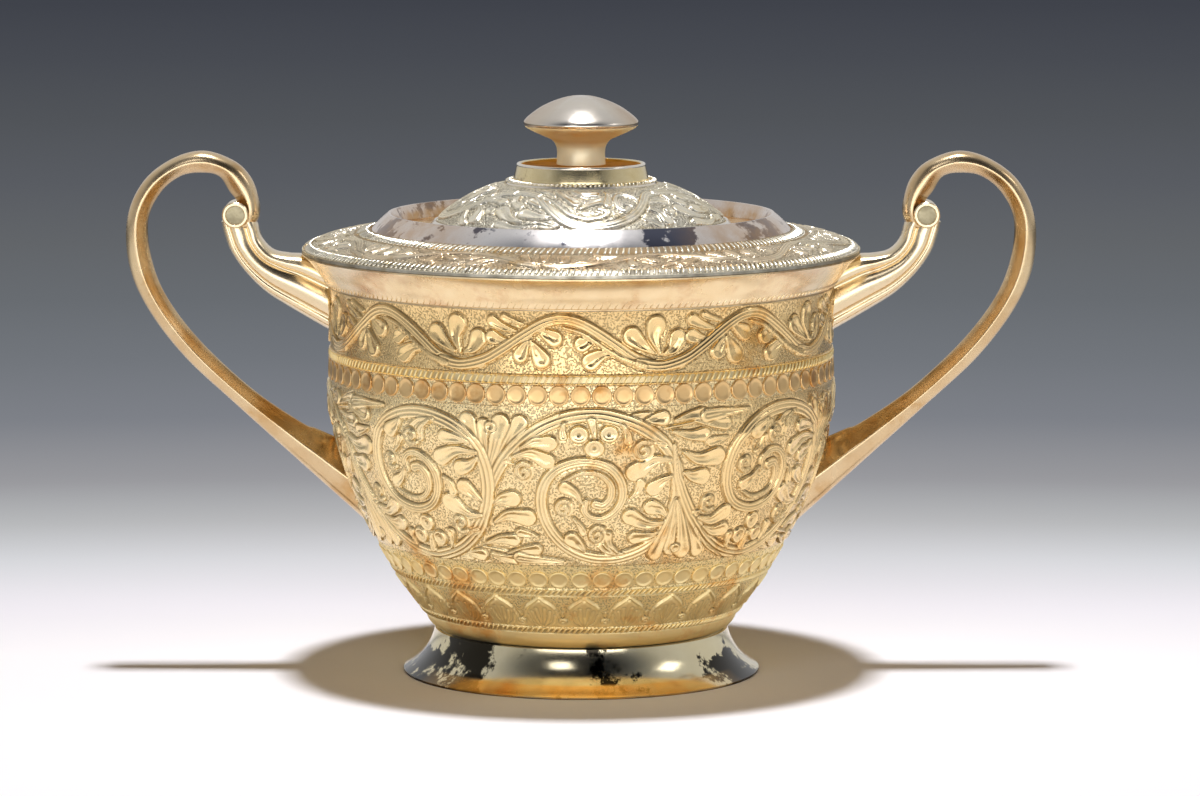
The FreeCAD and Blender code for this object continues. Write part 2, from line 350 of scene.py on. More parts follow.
def place(piece: Piece, body: Body, slot: Slot, finish: Material, *nodes: str) -> Piece:
    """Dress a finished piece and join it to its body.

    Args:
        piece: The piece.
        body: The body that carries it.
        slot: The record's slot for its finish; not used.
        finish: Its material.
        nodes: CAD nodes that it stands for.

    Returns:
        The same piece.
    """
    piece.data.materials.clear()
    piece.data.materials.append(finish)
    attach(piece, body.value)
    if nodes:
        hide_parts(*nodes)
    LOG.info("%s: %d faces on %s", piece.name, len(piece.data.polygons), body.value)
    return piece


# Geometry Nodes


class NodeRig:
    """A Geometry Nodes tree with named inputs, run once on a piece."""

    def __init__(self, name: str, **sockets: str) -> None:
        """Start a tree.

        Args:
            name: The tree's name.
            sockets: Name and type of each input besides the geometry and the material.
        """
        self.tree = bpy.data.node_groups.new(name, "GeometryNodeTree")
        self.tree.is_modifier = True
        self.node = partial(add_node, self.tree)
        for socket, kind in {"Geometry": "Geometry", **sockets, "Material": "Material"}.items():
            self.tree.interface.new_socket(socket, in_out="INPUT", socket_type=f"NodeSocket{kind}")
        self.tree.interface.new_socket("Geometry", in_out="OUTPUT", socket_type="NodeSocketGeometry")
        self.given = self.node("NodeGroupInput")

    def end(self, geometry: bpy.types.NodeSocket) -> None:
        """Close the tree: realize the instances, set the material and hand the geometry out.

        Args:
            geometry: What the tree has made.
        """
        real = self.node("GeometryNodeRealizeInstances", {"Geometry": geometry})[0]
        dressing = {"Geometry": real, "Material": self.given["Material"]}
        self.node("NodeGroupOutput", {0: self.node("GeometryNodeSetMaterial", dressing)[0]})

    def run(self, piece: Piece, **values: object) -> Piece:
        """Run the tree on a piece and keep the result as its plain mesh.

        Args:
            piece: The object whose mesh goes in.
            values: Value of each named input.

        Returns:
            The same object.
        """
        modifier = piece.modifiers.new(self.tree.name, "NODES")
        modifier.node_group = self.tree
        for item in self.tree.interface.items_tree:
            if item.in_out == "INPUT" and item.name in values:
                modifier[item.identifier] = values[item.name]
        ready = piece.evaluated_get(bpy.context.evaluated_depsgraph_get())
        mesh = bpy.data.meshes.new_from_object(ready)
        piece.modifiers.clear()
        piece.data = mesh
        mesh.name = piece.name
        return piece


class Lathe(NodeRig):
    """Turns an outline round the axis, as on a spinning lathe."""

    weld = 0.002
    crease = math.radians(32)

    def __init__(self) -> None:
        """Build the tree: a grid whose rows take the outline's points and whose columns go round the axis."""
        super().__init__("turned_work", Segments="Int", Crease="Float")
        add, given = self.node, self.given
        outline, segments = given["Geometry"], given["Segments"]
        count = add("GeometryNodeAttributeDomainSize", {"Geometry": outline})["Point Count"]
        columns = add("ShaderNodeMath", {0: segments, 1: 1.0}, operation="ADD")
        grid = add("GeometryNodeMeshGrid", {"Vertices X": columns[0], "Vertices Y": count})
        index = add("GeometryNodeInputIndex")
        row = add("ShaderNodeMath", {0: index[0], 1: count}, operation="MODULO")
        part = add("ShaderNodeMath", {0: index[0], 1: count}, operation="DIVIDE")
        column = add("ShaderNodeMath", {0: part[0]}, operation="FLOOR")
        share = add("ShaderNodeMath", {0: column[0], 1: segments}, operation="DIVIDE")
        turn = add("ShaderNodeMath", {0: share[0], 1: math.tau}, operation="MULTIPLY")
        here = add("GeometryNodeInputPosition")
        sampled = {"Geometry": outline, "Value": here[0], "Index": row[0]}
        spot = add("GeometryNodeSampleIndex", sampled, data_type="FLOAT_VECTOR")
        spun = add("ShaderNodeVectorRotate", {"Vector": spot[0], "Angle": turn[0]}, rotation_type="Z_AXIS")
        shaped = add("GeometryNodeSetPosition", {"Geometry": grid[0], "Position": spun[0]})
        closed = add("GeometryNodeMergeByDistance", {"Geometry": shaped[0], "Distance": self.weld * MM})
        soft = add("GeometryNodeSetShadeSmooth", {"Geometry": closed[0], "Shade Smooth": True}, domain="FACE")
        angle = add("GeometryNodeInputMeshEdgeAngle")
        sharp = add("ShaderNodeMath", {0: angle[0], 1: given["Crease"]}, operation="GREATER_THAN")
        edges = {"Geometry": soft[0], "Selection": sharp[0], "Shade Smooth": False}
        self.end(add("GeometryNodeSetShadeSmooth", edges, domain="EDGE")[0])

    def turn(self, name: str, outline: Sequence, finish: Material, segments: int = 180) -> Piece:
        """Turn a closed outline, or one with both ends on the axis.

        Args:
            name: The piece's name.
            outline: Its flat points.
            finish: Its material.
            segments: Facets in one turn.

        Returns:
            The piece.
        """
        points = [(max(r, 0.0), 0.0, z) for r, z in outline]
        if outline[0][0] > 0 or outline[-1][0] > 0:
            points.append(points[0])
        piece = make_piece(name, np.array(points))
        self.run(piece, Segments=segments, Crease=self.crease, Material=finish)
        face_outwards(piece)
        return piece


class RoundRow(NodeRig):
    """Repeats a small piece round the axis, with a maker's slight unevenness."""

    def __init__(self) -> None:
        """Build the tree: points on the axis, each turned further, that carry the small piece."""
        super().__init__("round_row", Count="Int", Jitter="Float", Seed="Int")
        add, given = self.node, self.given
        points = add("GeometryNodePoints", {"Count": given["Count"]})
        index = add("GeometryNodeInputIndex")
        share = add("ShaderNodeMath", {0: index[0], 1: given["Count"]}, operation="DIVIDE")
        even = add("ShaderNodeMath", {0: share[0], 1: math.tau}, operation="MULTIPLY")
        stray = add("FunctionNodeRandomValue", {"ID": index[0], "Seed": given["Seed"]}, data_type="FLOAT")
        off = add("ShaderNodeMath", {0: stray[1], 1: 0.5}, operation="SUBTRACT")
        uneven = add("ShaderNodeMath", {0: off[0], 1: given["Jitter"], 2: even[0]}, operation="MULTIPLY_ADD")
        turn = add("ShaderNodeCombineXYZ", {"Z": uneven[0]})
        carried = {"Points": points[0], "Instance": given["Geometry"], "Rotation": turn[0]}
        self.end(add("GeometryNodeInstanceOnPoints", carried)[0])

    def repeat(self, piece: Piece, count: int, jitter: float, seed: int, finish: Material) -> Piece:
        """Repeat a piece round the axis.

        Args:
            piece: The piece, made where its first copy goes.
            count: Copies in one turn.
            jitter: Unevenness, as a share of the pitch.
            seed: Seed of the unevenness.
            finish: The material.

        Returns:
            The same object, with all copies in its mesh.
        """
        return self.run(piece, Count=count, Jitter=jitter * math.tau / count, Seed=seed, Material=finish)


# Chased relief


class Motif(Enum):
    """The kinds of chased form. Places and widths across a form are shares of its half width."""

    STEM = "stem"
    LEAF = "leaf"
    FLORET = "floret"
    LINE = "line"
    FIELD = "field"

    def section(self, across: np.ndarray, along: np.ndarray) -> np.ndarray:
        """Return the height across the form, as a share of its full height.

        Args:
            across: Signed distance from the middle line.
            along: Place along the form, from 0 at its root to 1 at its end.

        Returns:
            The height share at each place.
        """
        if self is Motif.STEM:
            return 1 - 0.3 * across**2 - 0.5 * (bell(across, 0.34, 0.13) + bell(across, -0.36, 0.13))
        if self is Motif.LEAF:
            pocket = bell(across, 0.08, 0.5) * np.clip((along - 0.25) * 4, 0, 1)
            crease = bell(across, 0.26, 0.12) + 0.7 * bell(across, -0.34, 0.12)
            return 1 - 0.2 * across**4 - 0.58 * pocket - 0.3 * crease * np.clip((0.82 - along) * 5, 0, 1)
        if self is Motif.FLORET:
            return 0.52 + 0.42 * bell(np.abs(across), 0.8, 0.2) - 0.7 * bell(across, 0, 0.2)
        return 1 - 0.35 * across**4 if self is Motif.FIELD else 1 - across**2

    def traced(self) -> float:
        """Return how strongly a tracer line goes round the form."""
        return {Motif.LINE: 0.45, Motif.FIELD: 0.2}.get(self, 1.0)

    def grime(self, across: np.ndarray, along: np.ndarray) -> np.ndarray:
        """Return how dark old polish lies in the form's own grooves.

        Args:
            across: Signed distance from the middle line.
            along: Place along the form, from 0 to 1.

        Returns:
            The darkness at each place, from 0 to 1.
        """
        if self is Motif.STEM:
            return 0.55 * bell(across, 0.34, 0.14) + 0.35 * bell(across, -0.36, 0.14)
        if self is Motif.LEAF:
            lines = 0.55 * bell(across, 0.26, 0.13) + 0.4 * bell(across, -0.34, 0.13)
            return lines * np.clip((0.82 - along) * 5, 0, 1)
        if self is Motif.FLORET:
            return 0.9 * bell(across, 0, 0.2) + 0.3 * bell(np.abs(across), 0.5, 0.12)
        return np.zeros_like(across)


@dataclass(frozen=True)
class Stroke:
    """One chased form: its middle line, its half width at the root and the end, its height and its widest."""

    motif: Motif
    points: tuple[Point, ...]
    start: float
    end: float
    height: float
    peak: float = 0.0

    def flipped(self, turn: float) -> Stroke:
        """Return the stroke moved round by some degrees and turned upside down."""
        return replace(self, points=tuple((u + turn, -v) for u, v in self.points))

    def stretched(self, pivot: float, share: float) -> Stroke:
        """Return the stroke with all that lies below a height drawn out downwards."""
        return replace(self, points=tuple((u, min(v, pivot + (v - pivot) * share)) for u, v in self.points))

    def radii(self, count: int) -> np.ndarray:
        """Find the half width at evenly spaced places: from start to end, over a peak if there is one.

        Args:
            count: Number of places.

        Returns:
            The half widths.
        """
        share = np.linspace(0, 1, count)
        if not self.peak:
            return self.start + (self.end - self.start) * share
        return np.interp(share, (0.0, 0.16, 0.5, 1.0), (self.start, self.peak, self.peak, self.end))


def chased(motif: Motif, height: float, *rows: Sequence[float], peak: float = 0.0) -> list[Stroke]:
    """Read strokes of one kind from rows of numbers.

    Args:
        motif: Their kind.
        height: Their full height.
        rows: For each stroke its half width at the root and at the end, then its points in pairs.
        peak: The half width that they swell to, if they do.

    Returns:
        The strokes.
    """
    return [Stroke(motif, tuple(zip(row[2::2], row[3::2])), row[0], row[1], height, peak) for row in rows]


@dataclass(frozen=True)
class Near:
    """A window of the flat grid near a path, measured from the path."""

    window: tuple[np.ndarray, np.ndarray]
    distance: np.ndarray
    radius: np.ndarray
    along: np.ndarray
    side: np.ndarray
    lean: np.ndarray


class Relief:
    """The heights of one repeat of a band, unrolled flat, its old polish and painted shade, and its cover."""

    edge = 0.22
    reach = 1.0
    tracer_offset = 0.12
    tracer_depth = 0.2

    def __init__(self, width: float, height: float, columns: int, rows: int, tracer: float) -> None:
        """Start with a bare ground.

        Args:
            width: Width of the repeat.
            height: Height of the band.
            columns: Grid columns in the repeat.
            rows: Grid rows.
            tracer: Half width of the tracer lines.
        """
        self.width = width
        self.tracer_width = tracer
        self.x = np.arange(columns) * width / columns
        self.y = np.linspace(0, height, rows)
        self.lift, self.ink, self.cover = np.zeros((3, rows, columns))

    def windows(self, path: np.ndarray, radii: np.ndarray) -> Iterator[Near]:
        """Measure the ground near a path, also where it runs over the repeat's ends.

        Args:
            path: Points of the path.
            radii: Half width at each point.

        Yields:
            What lies near each copy of the path.
        """
        reach = radii.max() + self.reach
        for shift in (-self.width, 0.0, self.width):
            line = path + (shift, 0.0)
            low, high = line.min(0) - reach, line.max(0) + reach
            across = np.nonzero((self.x >= low[0]) & (self.x <= high[0]))[0]
            up = np.nonzero((self.y >= low[1]) & (self.y <= high[1]))[0]
            if not len(across) or not len(up):
                continue
            gx, gy = np.meshgrid(self.x[across], self.y[up])
            best = np.full(gx.shape, np.inf)
            found = [np.zeros(gx.shape)] * 5
            for i in range(len(line) - 1):
                step = line[i + 1] - line[i]
                right, above = gx - line[i, 0], gy - line[i, 1]
                share = np.clip((right * step[0] + above * step[1]) / max(step @ step, 1e-12), 0, 1)
                rise = above - share * step[1]
                away = np.hypot(right - share * step[0], rise)
                wide = radii[i] + share * (radii[i + 1] - radii[i])
                side = np.sign(step[0] * above - step[1] * right)
                here = (away, wide, (i + share) / (len(line) - 1), side, rise / np.maximum(away, 1e-6))
                nearer = away - wide < best
                best = np.where(nearer, away - wide, best)
                found = [np.where(nearer, new, old) for new, old in zip(here, found)]
            yield Near(np.ix_(up, across), *found)

    def chase(self, motif: Motif, path: np.ndarray, radii: np.ndarray, height: float) -> None:
        """Raise a form over what is there, with a tracer line round it.

        Args:
            motif: The kind of form.
            path: Its middle line.
            radii: Its half width at each point of the line.
            height: Its full height.
        """
        for near in self.windows(path, radii):
            window, gap = near.window, near.distance - near.radius
            body = ease(np.clip(0.5 - gap / self.edge, 0, 1))
            bare = 1 - body
            across = near.side * np.minimum(near.distance / near.radius, 1.0)
            form = height * motif.section(across, near.along)
            tracer = bell(gap, self.tracer_offset, self.tracer_width) * motif.traced()
            self.lift[window] = self.lift[window] * bare + form * body - self.tracer_depth * tracer * bare
            # Old polish in the tracer line, darker on the side above the form; that extra darkness is painted
            # shade
            grime = tracer * bare * (0.54 + 0.46 * near.lean)
            grime = np.maximum(grime, motif.grime(across, near.along) * body)
            self.ink[window] = np.maximum(self.ink[window] * bare, grime)
            self.cover[window] = np.maximum(self.cover[window], body)


class ReliefBand:
    """A band of chased sheet that goes round the axis: dense outside, plain at the back, closed all round."""

    step = 8
    per_span = 6

    def __init__(
        self,
        profile: Profile,
        low: float,
        high: float,
        repeats: int,
        columns: int,
        rows: int,
        tracer: float = 0.18,
    ) -> None:
        """Set out the band.

        Args:
            profile: The outline that it follows.
            low: Running length at its lower or outer border.
            high: Running length at its upper or inner border.
            repeats: Repeats of the motif in one turn.
            columns: Grid columns in one repeat.
            rows: Grid rows, one more than a multiple of the back's step.
            tracer: Half width of the tracer lines.
        """
        self.profile, self.low, self.columns = profile, low, columns
        self.total = repeats * columns
        self.runs = np.linspace(low, high, rows)
        radius = float(profile.at((low + high) / 2)[0])
        self.per_degree = math.radians(1) * radius
        self.relief = Relief(math.tau * radius / repeats, high - low, columns, rows, tracer)

    def draw(self, strokes: Sequence[Stroke], centre: float, fade: float, depth: float = 1.0) -> None:
        """Chase strokes into the band, and fade them to the bare ground at both borders.

        Args:
            strokes: The strokes.
            centre: Running length that the strokes' zero stands for.
            fade: Width of the fading.
            depth: How high the forms stand, as a share of their full height.
        """
        for stroke in strokes:
            flat = [(u * self.per_degree, v + centre - self.low) for u, v in stroke.points]
            if len(flat) == 1:
                flat.append((flat[0][0] + 0.01, flat[0][1]))
            path = smooth_path(flat, self.per_span)
            self.relief.chase(stroke.motif, path, stroke.radii(len(path)), stroke.height * depth)
        up = self.relief.y
        share = np.clip(np.minimum(up, up[-1] - up) / fade, 0, 1)[:, None]
        self.relief.lift *= share
        self.relief.ink *= share

    def build(self, name: str, start: float, first: int, count: int, ground: float, back: float) -> Piece:
        """Build the band, or a stretch of it.

        Args:
            name: The piece's name.
            start: Degrees from the front where the motif's repeat starts.
            first: First column.
            count: Columns to build; as many as the whole band gives a closed ring.
            ground: How far the bare ground lies off the outline.
            back: How far the back lies off the outline.

        Returns:
            The piece, with ink and ground attributes for its finish.
        """
        ring = count == self.total
        columns = first + np.arange(count if ring else count + 1)
        turn = np.radians(start + columns * 360 / self.total)
        pick = columns % self.columns
        front = around(self.profile.at(self.runs[:, None], ground + self.relief.lift[:, pick]), turn)
        rear = np.full((1, len(turn[:: self.step])), back)
        behind = around(self.profile.at(self.runs[:: self.step, None], rear), turn[:: self.step])
        number = np.arange(front[..., 0].size).reshape(front.shape[:2])
        inner = number.size + np.arange(behind[..., 0].size).reshape(behind.shape[:2])
        spare = np.zeros(inner.size)
        if ring:
            number, inner = (np.hstack([grid, grid[:, :1]]) for grid in (number, inner))
        quads = np.stack([number[:-1, :-1], number[:-1, 1:], number[1:, 1:], number[1:, :-1]], axis=-1)
        backs = np.stack([inner[:-1, :-1], inner[1:, :-1], inner[1:, 1:], inner[:-1, 1:]], axis=-1)
        rims = []
        for i in range(inner.shape[1] - 1):
            cut = slice(i * self.step, (i + 1) * self.step + 1)
            rims.append([*number[0, cut][::-1], inner[0, i], inner[0, i + 1]])
            rims.append([*number[-1, cut], inner[-1, i + 1], inner[-1, i]])
        for i in range(0 if ring else inner.shape[0] - 1):
            cut = slice(i * self.step, (i + 1) * self.step + 1)
            rims.append([*number[cut, 0], inner[i + 1, 0], inner[i, 0]])
            rims.append([*number[cut, -1][::-1], inner[i, -1], inner[i + 1, -1]])
        vertices = np.vstack([front.reshape(-1, 3), behind.reshape(-1, 3)])
        groups = [(quads.reshape(-1, 4), True), (backs.reshape(-1, 4), True), (rims, False)]
        piece = make_piece(name, vertices, groups)
        face_outwards(piece)
        for label, values in (("ink", self.relief.ink), ("ground", 1 - self.relief.cover)):
            paint(piece, label, np.concatenate([values[:, pick].ravel(), spare]))
        return piece


def tick_mark(
    name: str, profile: Profile, low: float, high: float, lift: float, slant: float, half: float
) -> Piece:
    """Make one slanted raised tick of a hatched border, at the front.

    Args:
        name: The piece's name.
        profile: The outline that it lies on.
        low: Running length at its low end.
        high: Running length at its high end.
        lift: How far the ground there lies off the outline.
        slant: How far its high end leans round, in millimetres.
        half: Half its width.

    Returns:
        The tick.
    """
    ridge, end, sunk = 0.36, 0.2, -0.1
    radius = profile.at((low + high) / 2)[0]
    across = np.array([-1.0, -0.5, 0.5, 1.0])
    rings = []
    for share, crest in ((0.0, end), (0.25, ridge), (0.75, ridge), (1.0, end)):
        flat = profile.at(low + share * (high - low), lift + np.array([sunk, crest, crest, sunk]))
        rings.append(around(flat, ((share - 0.5) * slant + across * half) / radius))
    return join_rings(name, rings)


# Finishes


@dataclass(frozen=True)
class Silver:
    """Sterling silver, warm with old polish: bright where it is rubbed and brown where it has tarnished.

    The eye sees a soft yellow-white metal, clouded by fine wear, with stains in patches. Light that grazes it
    takes the edge colour. A matted ground has small punched pits, really about 0.45 mm apart; they are drawn
    a little coarser, so that they show. Points can be painted: ink is old polish in grooves, and painted
    shade on some edges; ground is where the pits are and where a sooty finish is dark all over; tarnish is a
    warm film, and a painted reflection on the foot's flange and the handles' inner faces; and bias draws the
    stains of a steered finish, which on the foot are painted dark reflections.
    """

    name: str
    bright: str
    dull: str
    stain: str
    roughness: float
    cloud_mm: float
    stain_mm: float
    stain_share: float
    stain_edge: float = 0.12
    stain_depth: float = 0.8
    steered: bool = False
    wear_mm: float = 0.5
    wear_depth_mm: float = 0.004
    stipple_mm: float = 0.0
    stipple_depth_mm: float = 0.0
    sooty: float = 0.0
    ink: str = ""
    tarnish: str = ""
    edge: str = "#FFFFFF"

    def material(self) -> Material:
        """Build the finish.

        Returns:
            The material.
        """
        material = bpy.data.materials.new(self.name)
        material.use_nodes = True
        tree = material.node_tree
        tree.nodes.clear()
        add = partial(add_node, tree)
        spot = add("ShaderNodeTexCoord")["Object"]
        noise = {}
        for label, size, detail, gain in (
            ("cloud", self.cloud_mm, 4.0, 0.6),
            ("patch", self.stain_mm, 6.0, 0.68),
            ("wear", self.wear_mm, 3.0, 0.7),
            ("pits", self.stipple_mm, 1.0, 0.4),
        ):
            if size:
                grain = {"Vector": spot, "Scale": 1 / (size * MM), "Detail": detail, "Roughness": gain}
                noise[label] = add("ShaderNodeTexNoise", grain)[0]
        cloud, patch = noise["cloud"], noise["patch"]
        if self.steered:
            bias = add("ShaderNodeAttribute", attribute_name="bias")["Fac"]
            patch = add("ShaderNodeMath", {0: bias, 1: 0.2, 2: patch}, operation="MULTIPLY_ADD")[0]
        # By number, a map range takes a value, its old range and its new one; a colour mix a share, 6 and 7
        worn = {0: cloud, 6: linear(self.dull), 7: linear(self.bright)}
        colour = add("ShaderNodeMix", worn, data_type="RGBA")[2]
        clean, full = 1 - self.stain_share, 1 + self.stain_edge - self.stain_share
        stains = {0: patch, 1: clean, 2: full, 3: 0.0, 4: self.stain_depth}
        layers = [(add("ShaderNodeMapRange", stains)[0], self.stain)]
        dullness = {0: cloud, 1: 0.25, 2: 0.75, 3: self.roughness * 1.3, 4: self.roughness * 0.75}
        rough = add("ShaderNodeMapRange", dullness)[0]
        wear = {0: noise["wear"], 1: self.wear_depth_mm * MM}
        height = add("ShaderNodeMath", wear, operation="MULTIPLY")[0]
        if self.tarnish:
            film = add("ShaderNodeAttribute", attribute_name="tarnish")["Fac"]
            uneven = add("ShaderNodeMapRange", {0: cloud, 1: 0.35, 2: 0.62, 3: 0.45, 4: 1.0})[0]
            film = add("ShaderNodeMath", {0: film, 1: uneven}, operation="MULTIPLY")[0]
            layers.append((film, self.tarnish))
        if self.ink:
            soot = add("ShaderNodeAttribute", attribute_name="ink")["Fac"]
            left = add("ShaderNodeMapRange", {0: cloud, 1: 0.36, 2: 0.6, 3: 1.0, 4: 0.62})[0]
            soot = add("ShaderNodeMath", {0: soot, 1: left}, operation="MULTIPLY")[0]
            if self.stipple_mm:
                ground = add("ShaderNodeAttribute", attribute_name="ground")["Fac"]
                pit = add("ShaderNodeMapRange", {0: noise["pits"], 1: 0.5, 2: 0.62, 3: 0.0, 4: 1.0})[0]
                punched = add("ShaderNodeMath", {0: pit, 1: ground}, operation="MULTIPLY")[0]
                sunk = {0: punched, 1: -self.stipple_depth_mm * MM, 2: height}
                height = add("ShaderNodeMath", sunk, operation="MULTIPLY_ADD")[0]
                grime = add("ShaderNodeMath", {0: punched, 1: 0.43}, operation="MULTIPLY")[0]
                all_over = {0: ground, 1: self.sooty, 2: grime}
                grime = add("ShaderNodeMath", all_over, operation="MULTIPLY_ADD")[0]
                soot = add("ShaderNodeMath", {0: grime, 1: soot}, operation="MAXIMUM")[0]
            layers.append((soot, self.ink))
            rough = add("ShaderNodeMath", {0: soot, 1: 0.3, 2: rough}, operation="MULTIPLY_ADD")[0]
        for share, code in layers:
            colour = add("ShaderNodeMix", {0: share, 6: colour, 7: linear(code)}, data_type="RGBA")[2]
        bump = add("ShaderNodeBump", {"Strength": 1.0, "Distance": 1.0, "Height": height})[0]
        metal = {"Base Color": colour, "Metallic": 1.0, "Roughness": rough, "Normal": bump}
        metal["Specular Tint"] = linear(self.edge)
        add("ShaderNodeOutputMaterial", {"Surface": add("ShaderNodeBsdfPrincipled", metal)[0]})
        return material


def silver(name: str, *looks: object, **more: object) -> Material:
    """Make a silver finish as a material, from what tells it from plain silver."""
    return Silver(f"sterling silver, {name}", *looks, **more).material()


class Finishes:
    """All finishes of the bowl, made once."""

    def __init__(self) -> None:
        """Make the materials."""
        matted = partial(silver, stipple_mm=0.36, stipple_depth_mm=0.08)
        self.chased = matted(
            "chased and matted", "#FFEDBC", "#FFDA98", "#E6A854", 0.25, 6.0, 16.0, 0.44,
            ink="#2C2009", tarnish="#E9B662",
        )
        self.frosted = matted(
            "chased and frosted", "#FFF0BC", "#FFE09A", "#ECB05A", 0.48, 6.0, 16.0, 0.44, ink="#4A3210"
        )
        self.bead = silver("punched beads", "#E9C891", "#DEB476", "#C38841", 0.36, 5.0, 12.0, 0.46)
        self.chased_lid = matted(
            "chased, brighter", "#FFFAEC", "#F0E4C4", "#C8AE74", 0.25, 5.0, 14.0, 0.42,
            ink="#221C0E", tarnish="#DDB070", sooty=0.33, edge="#FCF4E2",
        )
        self.polished = silver("burnished", "#F6EFE0", "#E4D8C2", "#B08F6C", 0.16, 9.0, 18.0, 0.38)
        self.ring = silver(
            "burnished and blue-stained", "#FAF6F2", "#EAE2DA", "#2A3450", 0.17, 5.0, 6.0, 0.42,
            0.05, 0.9, True, tarnish="#C49A66",
        )
        # The foot's near-black stains are painted dark reflections, its warm film on the flange a painted
        # reflection of the bowl, and its ink painted shade at the base edge
        self.foot = silver(
            "burnished, black in patches", "#F4E8C4", "#D2C298", "#100D0B", 0.16, 8.0, 6.0, 0.41,
            0.05, 0.97, True, ink="#1C1612", tarnish="#F2BE6E",
        )
        self.gilt = silver("yellowed", "#F0E0B4", "#D6C08A", "#7A622E", 0.17, 3.0, 5.0, 0.42)
        self.stem = silver("pale gold", "#FFF4D4", "#FFECC2", "#FADA9C", 0.56, 5.0, 10.0, 0.4, edge="#FFECC4")
        self.brown = silver(
            "gone brown", "#D4A24C", "#BC8634", "#54340E", 0.4, 3.0, 4.0, 0.46, edge="#C8964A"
        )
        self.cap = silver(
            "rubbed cap", "#EEE7DC", "#D4C8B4", "#A88A64", 0.22, 6.0, 10.0, 0.42, tarnish="#B08A54"
        )
        self.rim = silver(
            "planished rim", "#F8E4BC", "#EACB98", "#C69060", 0.24, 4.0, 9.0, 0.47, 0.26, ink="#6E4A22"
        )
        # Its warm film is tarnish; on the strap's inner face part of it is a painted reflection
        self.cast = silver(
            "cast and filed", "#F4E4C4", "#E2CA9E", "#C89C62", 0.24, 7.0, 14.0, 0.42,
            wear_depth_mm=0.0015, tarnish="#BC9154",
        )
        self.eye = silver("frosted", "#B4AA8C", "#978C6E", "#7E7252", 0.42, 1.5, 3.0, 0.4)
        self.satin = silver("satin inside", "#E8DCC0", "#D8C8A4", "#B99A6C", 0.34, 8.0, 20.0, 0.34)


@dataclass
class Workshop:
    """The finishes and tools that every sub-assembly is made with."""

    finishes: Finishes = field(default_factory=Finishes)
    lathe: Lathe = field(default_factory=Lathe)
    rows: RoundRow = field(default_factory=RoundRow)

    def turned(
        self, name: str, outline: Sequence, segments: int, finish: Material,
        body: Body, slot: Slot, *nodes: str,
    ) -> Piece:
        """Turn a piece and place it, with what the lathe and the placing ask for."""
        return place(self.lathe.turn(name, outline, finish, segments), body, slot, finish, *nodes)

    def row(self, piece: Piece, count: int, jitter: float, seed: int, finish: Material, body: Body) -> Piece:
        """Repeat a small chased piece round the axis and place the row."""
        return place(self.rows.repeat(piece, count, jitter, seed, finish), body, Slot.CHASED, finish)


# The bowl


